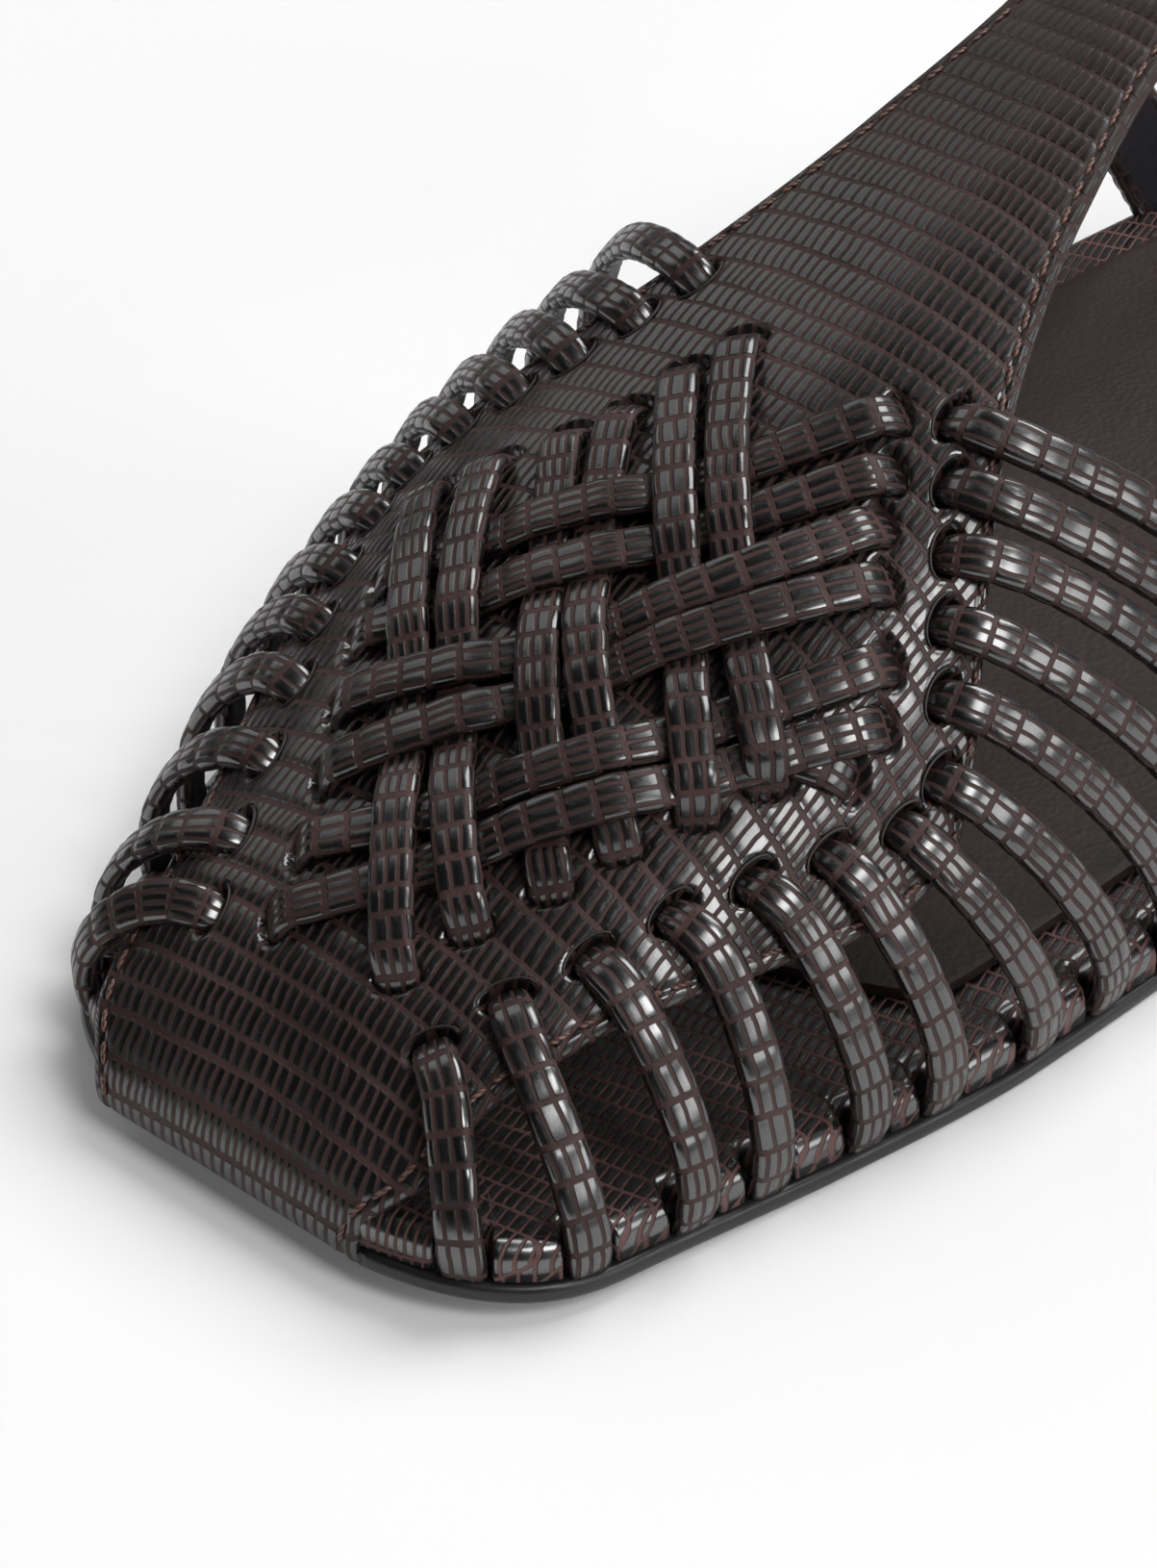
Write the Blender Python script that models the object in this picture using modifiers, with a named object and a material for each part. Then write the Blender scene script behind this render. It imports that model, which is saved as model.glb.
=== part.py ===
"""Caged sandal for the right foot: a woven vamp with side loops and a T-bar, on a thin sole.

Lengths are millimetres, and metres() turns them into metres at the end. The toe points along -Y,
the big toe's side is +X, and the sole stands on the floor at z = 0. "back" is the distance back from the toe
tip, "across" the distance from the sole's axis, positive on the inner (big toe) side, and "up" the height.
"""
from bisect import bisect_right
from collections import namedtuple
import math

import bmesh
import bpy
from mathutils import Vector

# Driving sizes
LENGTH = 250.0
CLEARANCE = 0.3
STRAP_WIDTH = 3.7
STRAP_THICK = 1.9
STRAP_SHOULDER = 0.72
PANEL_WALL = 1.8
UPPER_INSET = 0.3
INNER = 1
OUTER = -1
SIDE_NAMES = {INNER: "inner", OUTER: "outer"}
UP = Vector((0.0, 0.0, 1.0))

# The sole's edge before its toe and heel are rounded off, as distances from the axis
Sole = namedtuple("Sole", "back inner outer")
SOLE = (
    Sole(0, 26.4, 26.4),
    Sole(16, 28.2, 31.4),
    Sole(36, 31.8, 40.8),
    Sole(57, 34.8, 47.2),
    Sole(80, 35.5, 50.0),
    Sole(105, 33.0, 48.5),
    Sole(135, 28.5, 43.0),
    Sole(165, 27.0, 37.5),
    Sole(195, 28.0, 33.5),
    Sole(225, 28.0, 30.5),
    Sole(250, 27.5, 29.5),
)
Rounding = namedtuple("Rounding", "depth power")
WIDEST_BACK = 80.0
TOE_ROUNDING = Rounding(16.0, 2.6)
HEEL_ROUNDING = Rounding(32.0, 2.1)
END_FLAT = 0.6
SOLE_EDGE_ROUND = 0.5
OUTSOLE_STATIONS = 40

# Heights of the sole's underside and top along the axis; the heel's underside is flat from its front on
Profile = namedtuple("Profile", "back bottom top")
PROFILE = (
    Profile(0, 2.5, 4.3),
    Profile(20, 0.8, 2.6),
    Profile(45, 0.0, 1.8),
    Profile(95, 0.0, 1.8),
    Profile(130, 2.6, 4.6),
    Profile(165, 6.0, 8.2),
    Profile(185, 6.8, 9.0),
    Profile(250, 6.8, 9.2),
)
HEEL_FRONT = 178.0
HEEL_FRONT_SLOPE = 1.5

# The crest of the upper's outer face, and how far the crest lies from the sole's axis
Crest = namedtuple("Crest", "back up across")
CREST = (
    Crest(0, 11.5, 0.0),
    Crest(12, 18.5, -1.4),
    Crest(30, 28.5, -2.2),
    Crest(50, 39.0, -2.5),
    Crest(70, 49.0, -2.5),
    Crest(90, 59.0, -2.5),
    Crest(110, 68.5, -2.5),
    Crest(125, 75.0, -2.5),
)
SECTION_POWER = 2.4
TOE_WALL = Rounding(12.0, 2.2)

# Half the width of the vamp panel and T-bar from the crest, and how far out its slits lie
Panel = namedtuple("Panel", "back half slit")
PANEL = (
    Panel(0, 13.2, 9.0),
    Panel(4, 17.0, 10.0),
    Panel(11, 19.0, 12.2),
    Panel(19, 21.7, 16.3),
    Panel(32, 27.2, 23.0),
    Panel(46, 31.5, 28.9),
    Panel(50, 31.8, 29.7),
    Panel(54, 30.3, 27.4),
    Panel(62, 24.7, 21.4),
    Panel(71, 18.5, 14.0),
    Panel(79, 14.7, 11.0),
    Panel(88, 11.6, 8.0),
    Panel(104, 8.2, 6.0),
    Panel(120, 7.6, 6.0),
)
PANEL_END = 119.0
PANEL_TOE_ROWS = 5
PANEL_ROWS = 27
PANEL_COLUMNS = 12

# The side loops, from their slit in the panel to their foot on the sole, front to back
Loop = namedtuple("Loop", "slit_back inner_foot outer_foot inner_arch outer_arch")
LOOPS = (
    Loop(11.0, 4.2, 4.2, 0.40, 0.35),
    Loop(17.0, 12.2, 12.0, 0.40, 0.35),
    Loop(24.0, 21.8, 21.0, 0.35, 0.35),
    Loop(30.0, 29.0, 28.5, 0.30, 0.35),
    Loop(36.0, 38.5, 36.5, 0.25, 0.35),
    Loop(42.0, 46.0, 44.0, 0.20, 0.35),
    Loop(47.5, 56.5, 51.0, 0.15, 0.35),
    Loop(51.5, 65.0, 57.5, 0.10, 0.34),
    Loop(55.3, 74.0, 64.0, 0.04, 0.32),
    Loop(59.0, 82.0, 70.5, 0.0, 0.30),
    Loop(62.6, 90.5, 77.0, -0.04, 0.28),
    Loop(66.3, 98.5, 83.5, -0.08, 0.26),
    Loop(70.0, 106.5, 90.0, -0.10, 0.24),
)
LOOP_FOOT = 5.0
LOOP_LIP = 1.6
LOOP_SINK = 0.2
LOOP_PULL = 0.25
LOOP_ARCH_PULL = 0.45
LOOP_BULGE = {INNER: 2.0, OUTER: 3.0}
LOOP_STEPS = 6

# The woven strips: each set has its front ends on one side of the crest and its rear ends on the other
WEAVE_STRIPS = 6
WEAVE_FRONT = Vector((7.5, 12.3))
WEAVE_FRONT_STEP = Vector((3.0, 5.5))
WEAVE_REAR = Vector((26.0, 50.3))
WEAVE_REAR_STEP = Vector((-3.4, 3.5))
WEAVE_UNDER = 1.3
WEAVE_OVER = 2.9
WEAVE_ROOT = 0.9
WEAVE_ROUND = 0.7
WEAVE_TUCK = 0.06
WEAVE_SINK = 0.4
WEAVE_STEPS = 18

# The ankle strap: over the top of the T-bar to the sole on both sides, and around the heel
ANKLE_WIDTH = 9.0
ANKLE_THICK = 2.0
ANKLE_FOOT_BACK = 168.0
ANKLE_TOP_BACK = 122.0
ANKLE_TOP_UP = 72.5
ANKLE_POWER = 0.8
ANKLE_STEPS = 24
ANKLE_FOOT_TURN = 0.03
SLING_LEVEL = 0.58
SLING_HEEL_BACK = 246.0
SLING_HEEL_UP = 60.0
SLING_POWER = 0.75
SLING_STEPS = 22
FOLD_WALL = 1.4
FOLD_HALF = 7.6

# The insole and its sock
INSOLE_THICK = 3.2
INSOLE_EDGE_ROUND = 1.0
INSOLE_TOE_GAP = 2.2
INSOLE_STATIONS = 34
INSOLE_INSET = UPPER_INSET + ANKLE_THICK + CLEARANCE
SOCK_THICK = 1.0
SOCK_INSET = INSOLE_INSET + 5.0
SOCK_FRONT = 43.0
SOCK_FRONT_CURVE = 9.0
SOCK_COLUMNS = 6
SOCK_STATIONS = 22

# Colour and roughness of each piece
LEATHER = ((0.030, 0.017, 0.016, 1.0), 0.30)
FINISHES = {
    "outsole": ((0.012, 0.012, 0.014, 1.0), 0.45),
    "insole": LEATHER,
    "sock_lining": ((0.045, 0.034, 0.031, 1.0), 0.55),
    "upper": LEATHER,
    "ankle_strap": LEATHER,
}
SMOOTH_ANGLE = math.radians(40)


# Curves through the tables

def smooth(rows, column, back):
    """A curve through one column of a table that never swings past its rows."""
    backs = [row.back for row in rows]
    values = [getattr(row, column) for row in rows]
    steps = [(values[i + 1] - values[i]) / (backs[i + 1] - backs[i]) for i in range(len(rows) - 1)]

    def slope(i):
        if i == 0 or i == len(steps):
            return steps[min(i, len(steps) - 1)]
        before, after = steps[i - 1], steps[i]
        if before * after <= 0:
            return 0.0
        return 2 * before * after / (before + after)

    i = min(max(bisect_right(backs, back) - 1, 0), len(steps) - 1)
    span = backs[i + 1] - backs[i]
    t = (back - backs[i]) / span
    start = values[i] * (1 + 2 * t) * (1 - t) ** 2 + slope(i) * span * t * (1 - t) ** 2
    end = values[i + 1] * t ** 2 * (3 - 2 * t) + slope(i + 1) * span * t ** 2 * (t - 1)
    return start + end


def rounded(distance, rounding):
    """1 inside an outline, falling to 0 at its end along a superellipse."""
    left = max(0.0, 1 - distance / rounding.depth)
    return max(0.0, 1 - left ** rounding.power) ** (1 / rounding.power)


def bezier(a, b, c, d, t):
    s = 1 - t
    return a * s ** 3 + b * 3 * s * s * t + c * 3 * s * t * t + d * t ** 3


# The form of the sole and the upper

def sole_edge(side, back):
    """The across of the sole's edge, with the toe and the heel rounded off."""
    inside = min(max(back, END_FLAT), LENGTH - END_FLAT)
    wide = smooth(SOLE, SIDE_NAMES[side], inside)
    return side * wide * rounded(inside, TOE_ROUNDING) * rounded(LENGTH - inside, HEEL_ROUNDING)


def sole_top(back):
    return smooth(PROFILE, "top", back)


def sole_bottom(back):
    lift = smooth(PROFILE, "bottom", back)
    return lift * min(max((HEEL_FRONT - back) / HEEL_FRONT_SLOPE, 0.0), 1.0)


def toe_line(across):
    """How far back the rounded toe's edge lies at a distance from the axis."""
    share = min(abs(across) / SOLE[0].inner, 1.0)
    return TOE_ROUNDING.depth * (1 - (1 - share ** TOE_ROUNDING.power) ** (1 / TOE_ROUNDING.power))


def edge_normal(side, back):
    """The unit vector out of the sole's edge, in plan."""
    step = 0.5
    ahead = Vector((sole_edge(side, back - step), back - step))
    behind = Vector((sole_edge(side, back + step), back + step))
    along = (behind - ahead).normalized()
    return Vector((side * along.y, -side * along.x, 0.0))


def inset_edge(side, back, inset):
    """A point of the sole's edge moved inwards, in plan."""
    point = Vector((sole_edge(side, back), back, 0.0))
    return point - edge_normal(side, back) * inset


def inset_across(side, back, inset):
    """The across of the sole's edge moved inwards, at a station of the moved edge."""
    low, high = 0.0, LENGTH
    for _ in range(24):
        middle = (low + high) / 2
        if inset_edge(side, middle, inset).y < back:
            low = middle
        else:
            high = middle
    return inset_edge(side, low, inset).x


def crest_across(back):
    return smooth(CREST, "across", back)


def form_up(across, back):
    """The height of the upper's outer face over a point of the plan."""
    base = sole_top(back)
    middle = crest_across(back)
    side = INNER if across >= middle else OUTER
    half = side * (smooth(SOLE, SIDE_NAMES[side], back) - UPPER_INSET) - middle
    share = min((across - middle) / half, 1.0)
    arch = math.sqrt(1 - share ** SECTION_POWER)
    wall = rounded(back - toe_line(across), TOE_WALL)
    return base + (smooth(CREST, "up", back) - base) * arch * wall


def form_point(across, back):
    return Vector((across, back, form_up(across, back)))


def form_normal(across, back):
    """The unit vector out of the upper's outer face."""
    step = 0.4
    sideways = form_point(across + step, back) - form_point(across - step, back)
    along = form_point(across, back + step) - form_point(across, back - step)
    return sideways.cross(along).normalized()


# Making objects

MIDDLE = Vector(((sole_edge(INNER, WIDEST_BACK) + sole_edge(OUTER, WIDEST_BACK)) / 2, LENGTH / 2, 0.0))


def metres(point):
    """A point in shoe sizes as metres, with the origin under the middle of the sole."""
    return (point - MIDDLE) / 1000


def add_object(name, work, collection):
    """A new object that takes over a bmesh."""
    mesh = bpy.data.meshes.new(name)
    work.to_mesh(mesh)
    work.free()
    made = bpy.data.objects.new(name, mesh)
    collection.objects.link(made)
    return made


def finish(part):
    """The part's own material, and smooth shading between its sharp edges."""
    colour, roughness = FINISHES[part.name]
    made = bpy.data.materials.new(part.name)
    made.use_nodes = True
    shader = made.node_tree.nodes["Principled BSDF"]
    shader.inputs["Base Color"].default_value = colour
    shader.inputs["Roughness"].default_value = roughness
    shader.inputs["Metallic"].default_value = 0.0
    part.data.materials.append(made)
    part.data.shade_smooth()
    part.data.set_sharp_from_angle(angle=SMOOTH_ANGLE)


def loft(name, rings, collection):
    """A closed solid over rings of points with equal counts, capped at both ends."""
    work = bmesh.new()
    rows = [[work.verts.new(metres(point)) for point in ring] for ring in rings]
    for row, following in zip(rows, rows[1:]):
        for i in range(len(row)):
            j = (i + 1) % len(row)
            work.faces.new((row[i], row[j], following[j], following[i]))
    work.faces.new(reversed(rows[0]))
    work.faces.new(rows[-1])
    bmesh.ops.recalc_face_normals(work, faces=work.faces)
    bmesh.ops.triangulate(work, faces=work.faces)
    return add_object(name, work, collection)


def strap_rings(points, sides, half_width, half_thick, shape):
    """Sections of one shape along a strap's middle line, its width laid along the given side vectors."""
    rings = []
    for i, point in enumerate(points):
        along = (points[min(i + 1, len(points) - 1)] - points[max(i - 1, 0)]).normalized()
        wide = (sides[i] - along * sides[i].dot(along)).normalized()
        out = along.cross(wide)
        rings.append([point + wide * half_width * a + out * half_thick * b for a, b in shape])
    return rings


PILLOW = (
    (1, 0),
    (STRAP_SHOULDER, 1),
    (-STRAP_SHOULDER, 1),
    (-1, 0),
    (-STRAP_SHOULDER, -1),
    (STRAP_SHOULDER, -1),
)
SQUARE = ((1, 1), (-1, 1), (-1, -1), (1, -1))


def join(target, helper, operation):
    """A Boolean modifier that joins a helper to an object or cuts it out."""
    helper.hide_render = True
    helper.display_type = "WIRE"
    boolean = target.modifiers.new(helper.name, "BOOLEAN")
    boolean.object = helper
    boolean.operation = operation


# Sole, insole and sock

def stations(front, rear, count):
    """Distances from front to rear, closer together towards both ends."""
    return [front + (rear - front) * (1 - math.cos(math.pi * i / count)) / 2 for i in range(count + 1)]


def make_outsole(collection):
    edge = SOLE_EDGE_ROUND
    backs = stations(0, LENGTH, OUTSOLE_STATIONS) + [WIDEST_BACK, HEEL_FRONT - HEEL_FRONT_SLOPE, HEEL_FRONT]
    rings = []
    for back in sorted(backs):
        outer, inner = sole_edge(OUTER, back), sole_edge(INNER, back)
        top, bottom = sole_top(back), sole_bottom(back)
        section = (
            (outer + edge, top),
            (inner - edge, top),
            (inner, top - edge),
            (inner, bottom + edge),
            (inner - edge, bottom),
            (outer + edge, bottom),
            (outer, bottom + edge),
            (outer, top - edge),
        )
        rings.append([Vector((across, back, up)) for across, up in section])
    return loft("outsole", rings, collection)


def make_insole(collection):
    edge = INSOLE_EDGE_ROUND
    rear = LENGTH - INSOLE_INSET
    rings = []
    for back in stations(INSOLE_INSET + INSOLE_TOE_GAP, rear, INSOLE_STATIONS):
        station = min(back, rear - END_FLAT)
        outer = inset_across(OUTER, station, INSOLE_INSET)
        inner = inset_across(INNER, station, INSOLE_INSET)
        bottom = sole_top(back) + CLEARANCE
        top = bottom + INSOLE_THICK
        section = (
            (outer + edge, top),
            (inner - edge, top),
            (inner, top - edge),
            (inner, bottom),
            (outer, bottom),
            (outer, top - edge),
        )
        rings.append([Vector((across, back, up)) for across, up in section])
    return loft("insole", rings, collection)


def make_sock_lining(collection):
    """A thin sheet on the insole, whose front edge bows forward at the axis."""
    rear = LENGTH - SOCK_INSET
    lift = CLEARANCE + INSOLE_THICK + CLEARANCE
    rings = []
    for share in stations(0.0, 1.0, SOCK_STATIONS):
        under = []
        for column in range(SOCK_COLUMNS + 1):
            across_share = 2 * column / SOCK_COLUMNS - 1
            side = INNER if across_share >= 0 else OUTER
            front = SOCK_FRONT + SOCK_FRONT_CURVE * across_share ** 2
            back = front + (rear - front) * share
            across = abs(across_share) * inset_across(side, min(back, rear - END_FLAT), SOCK_INSET)
            under.append(Vector((across, back, sole_top(back) + lift)))
        over = [point + UP * SOCK_THICK for point in under]
        rings.append(over + under[::-1])
    return loft("sock_lining", rings, collection)


# The upper

def panel_point(row, column):
    """The panel's outer face: its first rows climb the toe's wall, and the others run back to the T-bar's end."""
    if row < PANEL_TOE_ROWS:
        climb = row / PANEL_TOE_ROWS
        share = 1 - math.cos(climb * math.pi / 2)
        across = crest_across(TOE_WALL.depth * share) + column * smooth(PANEL, "half", TOE_WALL.depth * share)
        front = toe_line(across) + UPPER_INSET
        back = front + (TOE_WALL.depth - front) * share
        up = form_up(across, back - UPPER_INSET * (1 - climb))
        return Vector((across, back, max(up, sole_top(back) + CLEARANCE)))
    share = (row - PANEL_TOE_ROWS) / (PANEL_ROWS - PANEL_TOE_ROWS)
    back = TOE_WALL.depth + (PANEL_END - TOE_WALL.depth) * share
    return form_point(crest_across(back) + column * smooth(PANEL, "half", back), back)


def make_panel(collection):
    """The vamp panel and T-bar as one sheet over the form, with its wall put inside."""
    work = bmesh.new()
    bmesh.ops.create_grid(work, x_segments=PANEL_COLUMNS, y_segments=PANEL_ROWS, size=1.0)
    for vertex in work.verts:
        row = (vertex.co.y + 1) / 2 * PANEL_ROWS
        vertex.co = metres(panel_point(row, vertex.co.x))
    panel = add_object("upper", work, collection)
    wall = panel.modifiers.new("wall", "SOLIDIFY")
    wall.thickness = PANEL_WALL / 1000
    wall.offset = -1
    wall.use_even_offset = True
    panel.modifiers.new("flat_faces", "TRIANGULATE")
    return panel


def make_loop(side, loop, name, collection):
    """A side loop: out of its slit, over the panel's edge and down to the sole."""
    foot_back = getattr(loop, SIDE_NAMES[side] + "_foot")
    arch = getattr(loop, SIDE_NAMES[side] + "_arch")
    across = crest_across(loop.slit_back) + side * smooth(PANEL, "slit", loop.slit_back)
    slit = form_point(across, loop.slit_back)
    normal = form_normal(across, loop.slit_back)
    sole_out = edge_normal(side, foot_back)
    foot = inset_edge(side, foot_back, UPPER_INSET + STRAP_THICK / 2) + UP * (sole_top(foot_back) + CLEARANCE)
    knee = foot + UP * LOOP_FOOT
    outward = Vector((knee.x - slit.x, knee.y - slit.y, 0.0))
    along = (outward - normal * outward.dot(normal)).normalized()
    root = slit - normal * PANEL_WALL / 2
    lip = slit + along * LOOP_LIP + normal * (STRAP_THICK / 2 - LOOP_SINK)
    pull = LOOP_PULL + LOOP_ARCH_PULL * arch
    lip_pull = lip + (along + normal * arch).normalized() * outward.length * pull
    knee_pull = knee + UP * (slit.z - knee.z) * pull + sole_out * LOOP_BULGE[side]
    curve = [bezier(lip, lip_pull, knee_pull, knee, i / LOOP_STEPS) for i in range(LOOP_STEPS + 1)]
    points = [root] + curve + [foot]
    start_side = UP.cross(outward.normalized())
    end_side = UP.cross(sole_out)
    sides = [start_side.lerp(end_side, min(i / LOOP_STEPS, 1.0)) for i in range(len(points))]
    rings = strap_rings(points, sides, STRAP_WIDTH / 2, STRAP_THICK / 2, PILLOW)
    return loft(name, rings, collection)


def weave_ends(side, index):
    """The front and rear ends of a woven strip, in plan from the crest."""
    front = WEAVE_FRONT + WEAVE_FRONT_STEP * index
    rear = WEAVE_REAR + WEAVE_REAR_STEP * index
    return Vector((side * front.x, front.y)), Vector((-side * rear.x, rear.y))


def weave_crossings(side, index):
    """Where a strip meets those of the other set: its share along the strip, and its top's height there."""
    front, rear = weave_ends(side, index)
    run = rear - front
    found = []
    for other in range(WEAVE_STRIPS):
        other_front, other_rear = weave_ends(-side, other)
        other_run = other_rear - other_front
        share = (other_front - front).cross(other_run) / run.cross(other_run)
        inner_over = (index // 2 + other // 2) % 2 == 0
        over = inner_over if side == INNER else not inner_over
        found.append((share, WEAVE_OVER if over else WEAVE_UNDER))
    return sorted(found)


def weave_height(share, crossings):
    """The height of a strip's top over the panel: over or under at each crossing, and sunk at both ends."""
    height = crossings[0][1]
    for (place, top), (next_place, next_top) in zip(crossings, crossings[1:]):
        t = min(max((share - place) / (next_place - place), 0.0), 1.0)
        height += (next_top - top) * t * t * (3 - 2 * t)
    tuck = min(share / WEAVE_TUCK, (1 - share) / WEAVE_TUCK, 1.0)
    return height * tuck - WEAVE_SINK * (1 - tuck)


def make_woven_strip(side, index, name, collection):
    front, rear = weave_ends(side, index)
    crossings = weave_crossings(side, index)
    run = (rear - front).to_3d()
    half = STRAP_WIDTH / 2
    rings = []
    for step in range(WEAVE_STEPS + 1):
        share = step / WEAVE_STEPS
        plan = front.lerp(rear, share)
        across = plan.x + crest_across(plan.y)
        point = form_point(across, plan.y)
        normal = form_normal(across, plan.y)
        wide = normal.cross(run).normalized()
        top = weave_height(share, crossings)
        shoulder = max(top - WEAVE_ROUND, (top - WEAVE_ROOT) / 2)
        section = (
            (-half, -WEAVE_ROOT),
            (half, -WEAVE_ROOT),
            (half, shoulder),
            (half * STRAP_SHOULDER, top),
            (-half * STRAP_SHOULDER, top),
            (-half, shoulder),
        )
        rings.append([point + wide * a + normal * b for a, b in section])
    return loft(name, rings, collection)


def make_upper(collection, helpers):
    """The panel with its loops, woven strips and folded end joined on."""
    upper = make_panel(collection)
    joined = []
    for side, name in SIDE_NAMES.items():
        for number, loop in enumerate(LOOPS, 1):
            joined.append(make_loop(side, loop, f"loop_{name}_{number}", helpers))
        for index in range(WEAVE_STRIPS):
            joined.append(make_woven_strip(side, index, f"strip_{name}_{index + 1}", helpers))
    joined.append(make_fold("fold", FOLD_WALL + CLEARANCE, FOLD_HALF, helpers))
    for piece in joined:
        join(upper, piece, "UNION")
    join(upper, make_fold("fold_slot", CLEARANCE, FOLD_HALF * 2, helpers), "DIFFERENCE")
    return upper


# The ankle strap

def ankle_point(turn):
    """The strap's middle line over the foot, from the inner foot (turn 0) to the outer one (turn 1)."""
    angle = math.pi * turn
    rise = max(math.sin(angle), 0.0) ** ANKLE_POWER
    reach = abs(math.cos(angle)) ** ANKLE_POWER
    side = INNER if turn <= 0.5 else OUTER
    middle = crest_across(ANKLE_TOP_BACK)
    forward = (ANKLE_TOP_BACK - ANKLE_FOOT_BACK) * rise
    edge_back = ANKLE_FOOT_BACK + forward * (1 - rise) ** 2
    edge = inset_edge(side, edge_back, UPPER_INSET + ANKLE_THICK / 2).x
    foot_up = sole_top(ANKLE_FOOT_BACK) + CLEARANCE
    return Vector((
        middle + (edge - middle) * reach,
        ANKLE_FOOT_BACK + forward,
        foot_up + (ANKLE_TOP_UP - foot_up) * rise,
    ))


def ankle_turns():
    """The strap's stations: its two feet, and even steps of turn between them."""
    between = 1 - 2 * ANKLE_FOOT_TURN
    return [0.0] + [ANKLE_FOOT_TURN + between * i / ANKLE_STEPS for i in range(ANKLE_STEPS + 1)] + [1.0]


def ankle_side(turn):
    """The direction of the strap's width: square to its slanting plane, and along the sole's edge at its feet."""
    rise = ankle_point(0.5) - ankle_point(0.0)
    wide = Vector((0.0, rise.z, -rise.y)).normalized()
    edge = edge_normal(INNER if turn <= 0.5 else OUTER, ANKLE_FOOT_BACK)
    lean = -edge.y / edge.x * wide.y
    return wide + Vector((lean * abs(math.cos(math.pi * turn)) ** 4, 0.0, 0.0))


def level_foot(ring, following):
    """A strap's end section, cut level just above the sole."""
    level = sole_top(ANKLE_FOOT_BACK) + CLEARANCE
    cut = []
    for point, above in zip(ring, following):
        along = above - point
        cut.append(point + along * ((level - point.z) / along.z))
    return cut


def sling_point(turn):
    """The run around the heel, from the strap's inner side to its outer side."""
    leave = math.asin(SLING_LEVEL ** (1 / ANKLE_POWER)) / math.pi
    start, end = ankle_point(leave), ankle_point(1 - leave)
    angle = math.pi * turn
    reach = math.copysign(abs(math.cos(angle)) ** SLING_POWER, math.cos(angle))
    round_heel = max(math.sin(angle), 0.0) ** SLING_POWER
    middle = (start + end) / 2
    heel = Vector((middle.x, SLING_HEEL_BACK, SLING_HEEL_UP))
    return middle + (start - end) / 2 * reach + (heel - middle) * round_heel


def make_ankle_strap(collection, helpers):
    """The strap over the foot, with the run around the heel joined on."""
    turns = ankle_turns()
    points = [ankle_point(turn) for turn in turns]
    sides = [ankle_side(turn) for turn in turns]
    rings = strap_rings(points, sides, ANKLE_WIDTH / 2, ANKLE_THICK / 2, PILLOW)
    rings[0] = level_foot(rings[0], rings[1])
    rings[-1] = level_foot(rings[-1], rings[-2])
    strap = loft("ankle_strap", rings, collection)
    sling = [sling_point(i / SLING_STEPS) for i in range(SLING_STEPS + 1)]
    sling_rings = strap_rings(sling, [UP] * len(sling), ANKLE_WIDTH / 2, ANKLE_THICK / 2, PILLOW)
    join(strap, loft("sling", sling_rings, helpers), "UNION")
    return strap


def fold_points(half_run):
    """The strap's middle line where it runs through the T-bar's fold, ended half_run from the crest."""
    middle = ankle_point(0.5).x
    points = [ankle_point(turn) for turn in ankle_turns()]
    kept = [i for i, point in enumerate(points) if abs(point.x - middle) < half_run]
    ends = []
    for inside, outside in ((kept[0], kept[0] - 1), (kept[-1], kept[-1] + 1)):
        goal = middle + math.copysign(half_run, points[inside].x - middle)
        share = (goal - points[inside].x) / (points[outside].x - points[inside].x)
        ends.append(points[inside].lerp(points[outside], share))
    return [ends[0]] + [points[i] for i in kept] + [ends[1]]


def make_fold(name, grow, half_run, collection):
    """The T-bar's folded end around the strap or, grown less, the slot through it."""
    points = fold_points(half_run)
    sides = [ankle_side(0.5)] * len(points)
    rings = strap_rings(points, sides, ANKLE_WIDTH / 2 + grow, ANKLE_THICK / 2 + grow, SQUARE)
    return loft(name, rings, collection)


def main():
    for leftover in list(bpy.data.objects):
        bpy.data.objects.remove(leftover)
    sandal = bpy.data.collections.new("caged_sandal")
    helpers = bpy.data.collections.new("helpers")
    bpy.context.scene.collection.children.link(sandal)
    bpy.context.scene.collection.children.link(helpers)
    parts = (
        make_outsole(sandal),
        make_insole(sandal),
        make_sock_lining(sandal),
        make_upper(sandal, helpers),
        make_ankle_strap(sandal, helpers),
    )
    for part in parts:
        finish(part)


main()
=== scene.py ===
"""Caged sandal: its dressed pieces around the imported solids, with the studio and the camera.

Sizes are millimetres in the shoe's own frame, and world() turns them into Blender's metres. "back" is the
distance back from the toe tip, "across" the distance from the sole's axis, positive on the inner (big toe)
side, and "up" the height over the floor. A chart is a UV map that follows the leather: its first number
runs along a row of the embossed leather in millimetres, and its second counts the rows.
"""
from collections import namedtuple
import math

import bpy
import numpy as np
from mathutils import Matrix, Vector

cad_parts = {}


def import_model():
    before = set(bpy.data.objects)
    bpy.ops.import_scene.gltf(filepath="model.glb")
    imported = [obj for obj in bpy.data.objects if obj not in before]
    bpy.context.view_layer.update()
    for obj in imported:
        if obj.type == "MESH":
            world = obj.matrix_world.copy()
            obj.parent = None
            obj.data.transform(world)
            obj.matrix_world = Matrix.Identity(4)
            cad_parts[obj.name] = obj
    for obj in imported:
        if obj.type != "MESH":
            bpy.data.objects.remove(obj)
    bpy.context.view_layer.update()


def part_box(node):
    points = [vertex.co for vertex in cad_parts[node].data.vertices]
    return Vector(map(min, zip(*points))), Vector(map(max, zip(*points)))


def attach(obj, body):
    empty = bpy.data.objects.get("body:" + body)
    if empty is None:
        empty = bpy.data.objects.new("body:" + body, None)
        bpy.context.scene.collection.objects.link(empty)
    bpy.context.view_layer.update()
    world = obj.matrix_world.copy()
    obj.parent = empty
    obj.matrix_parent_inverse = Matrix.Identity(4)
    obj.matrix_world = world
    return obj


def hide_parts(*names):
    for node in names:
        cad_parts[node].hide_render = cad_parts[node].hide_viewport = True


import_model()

# Driving sizes
LENGTH = 250.0
CLEARANCE = 0.3
STRAP_WIDTH = 3.7
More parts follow.
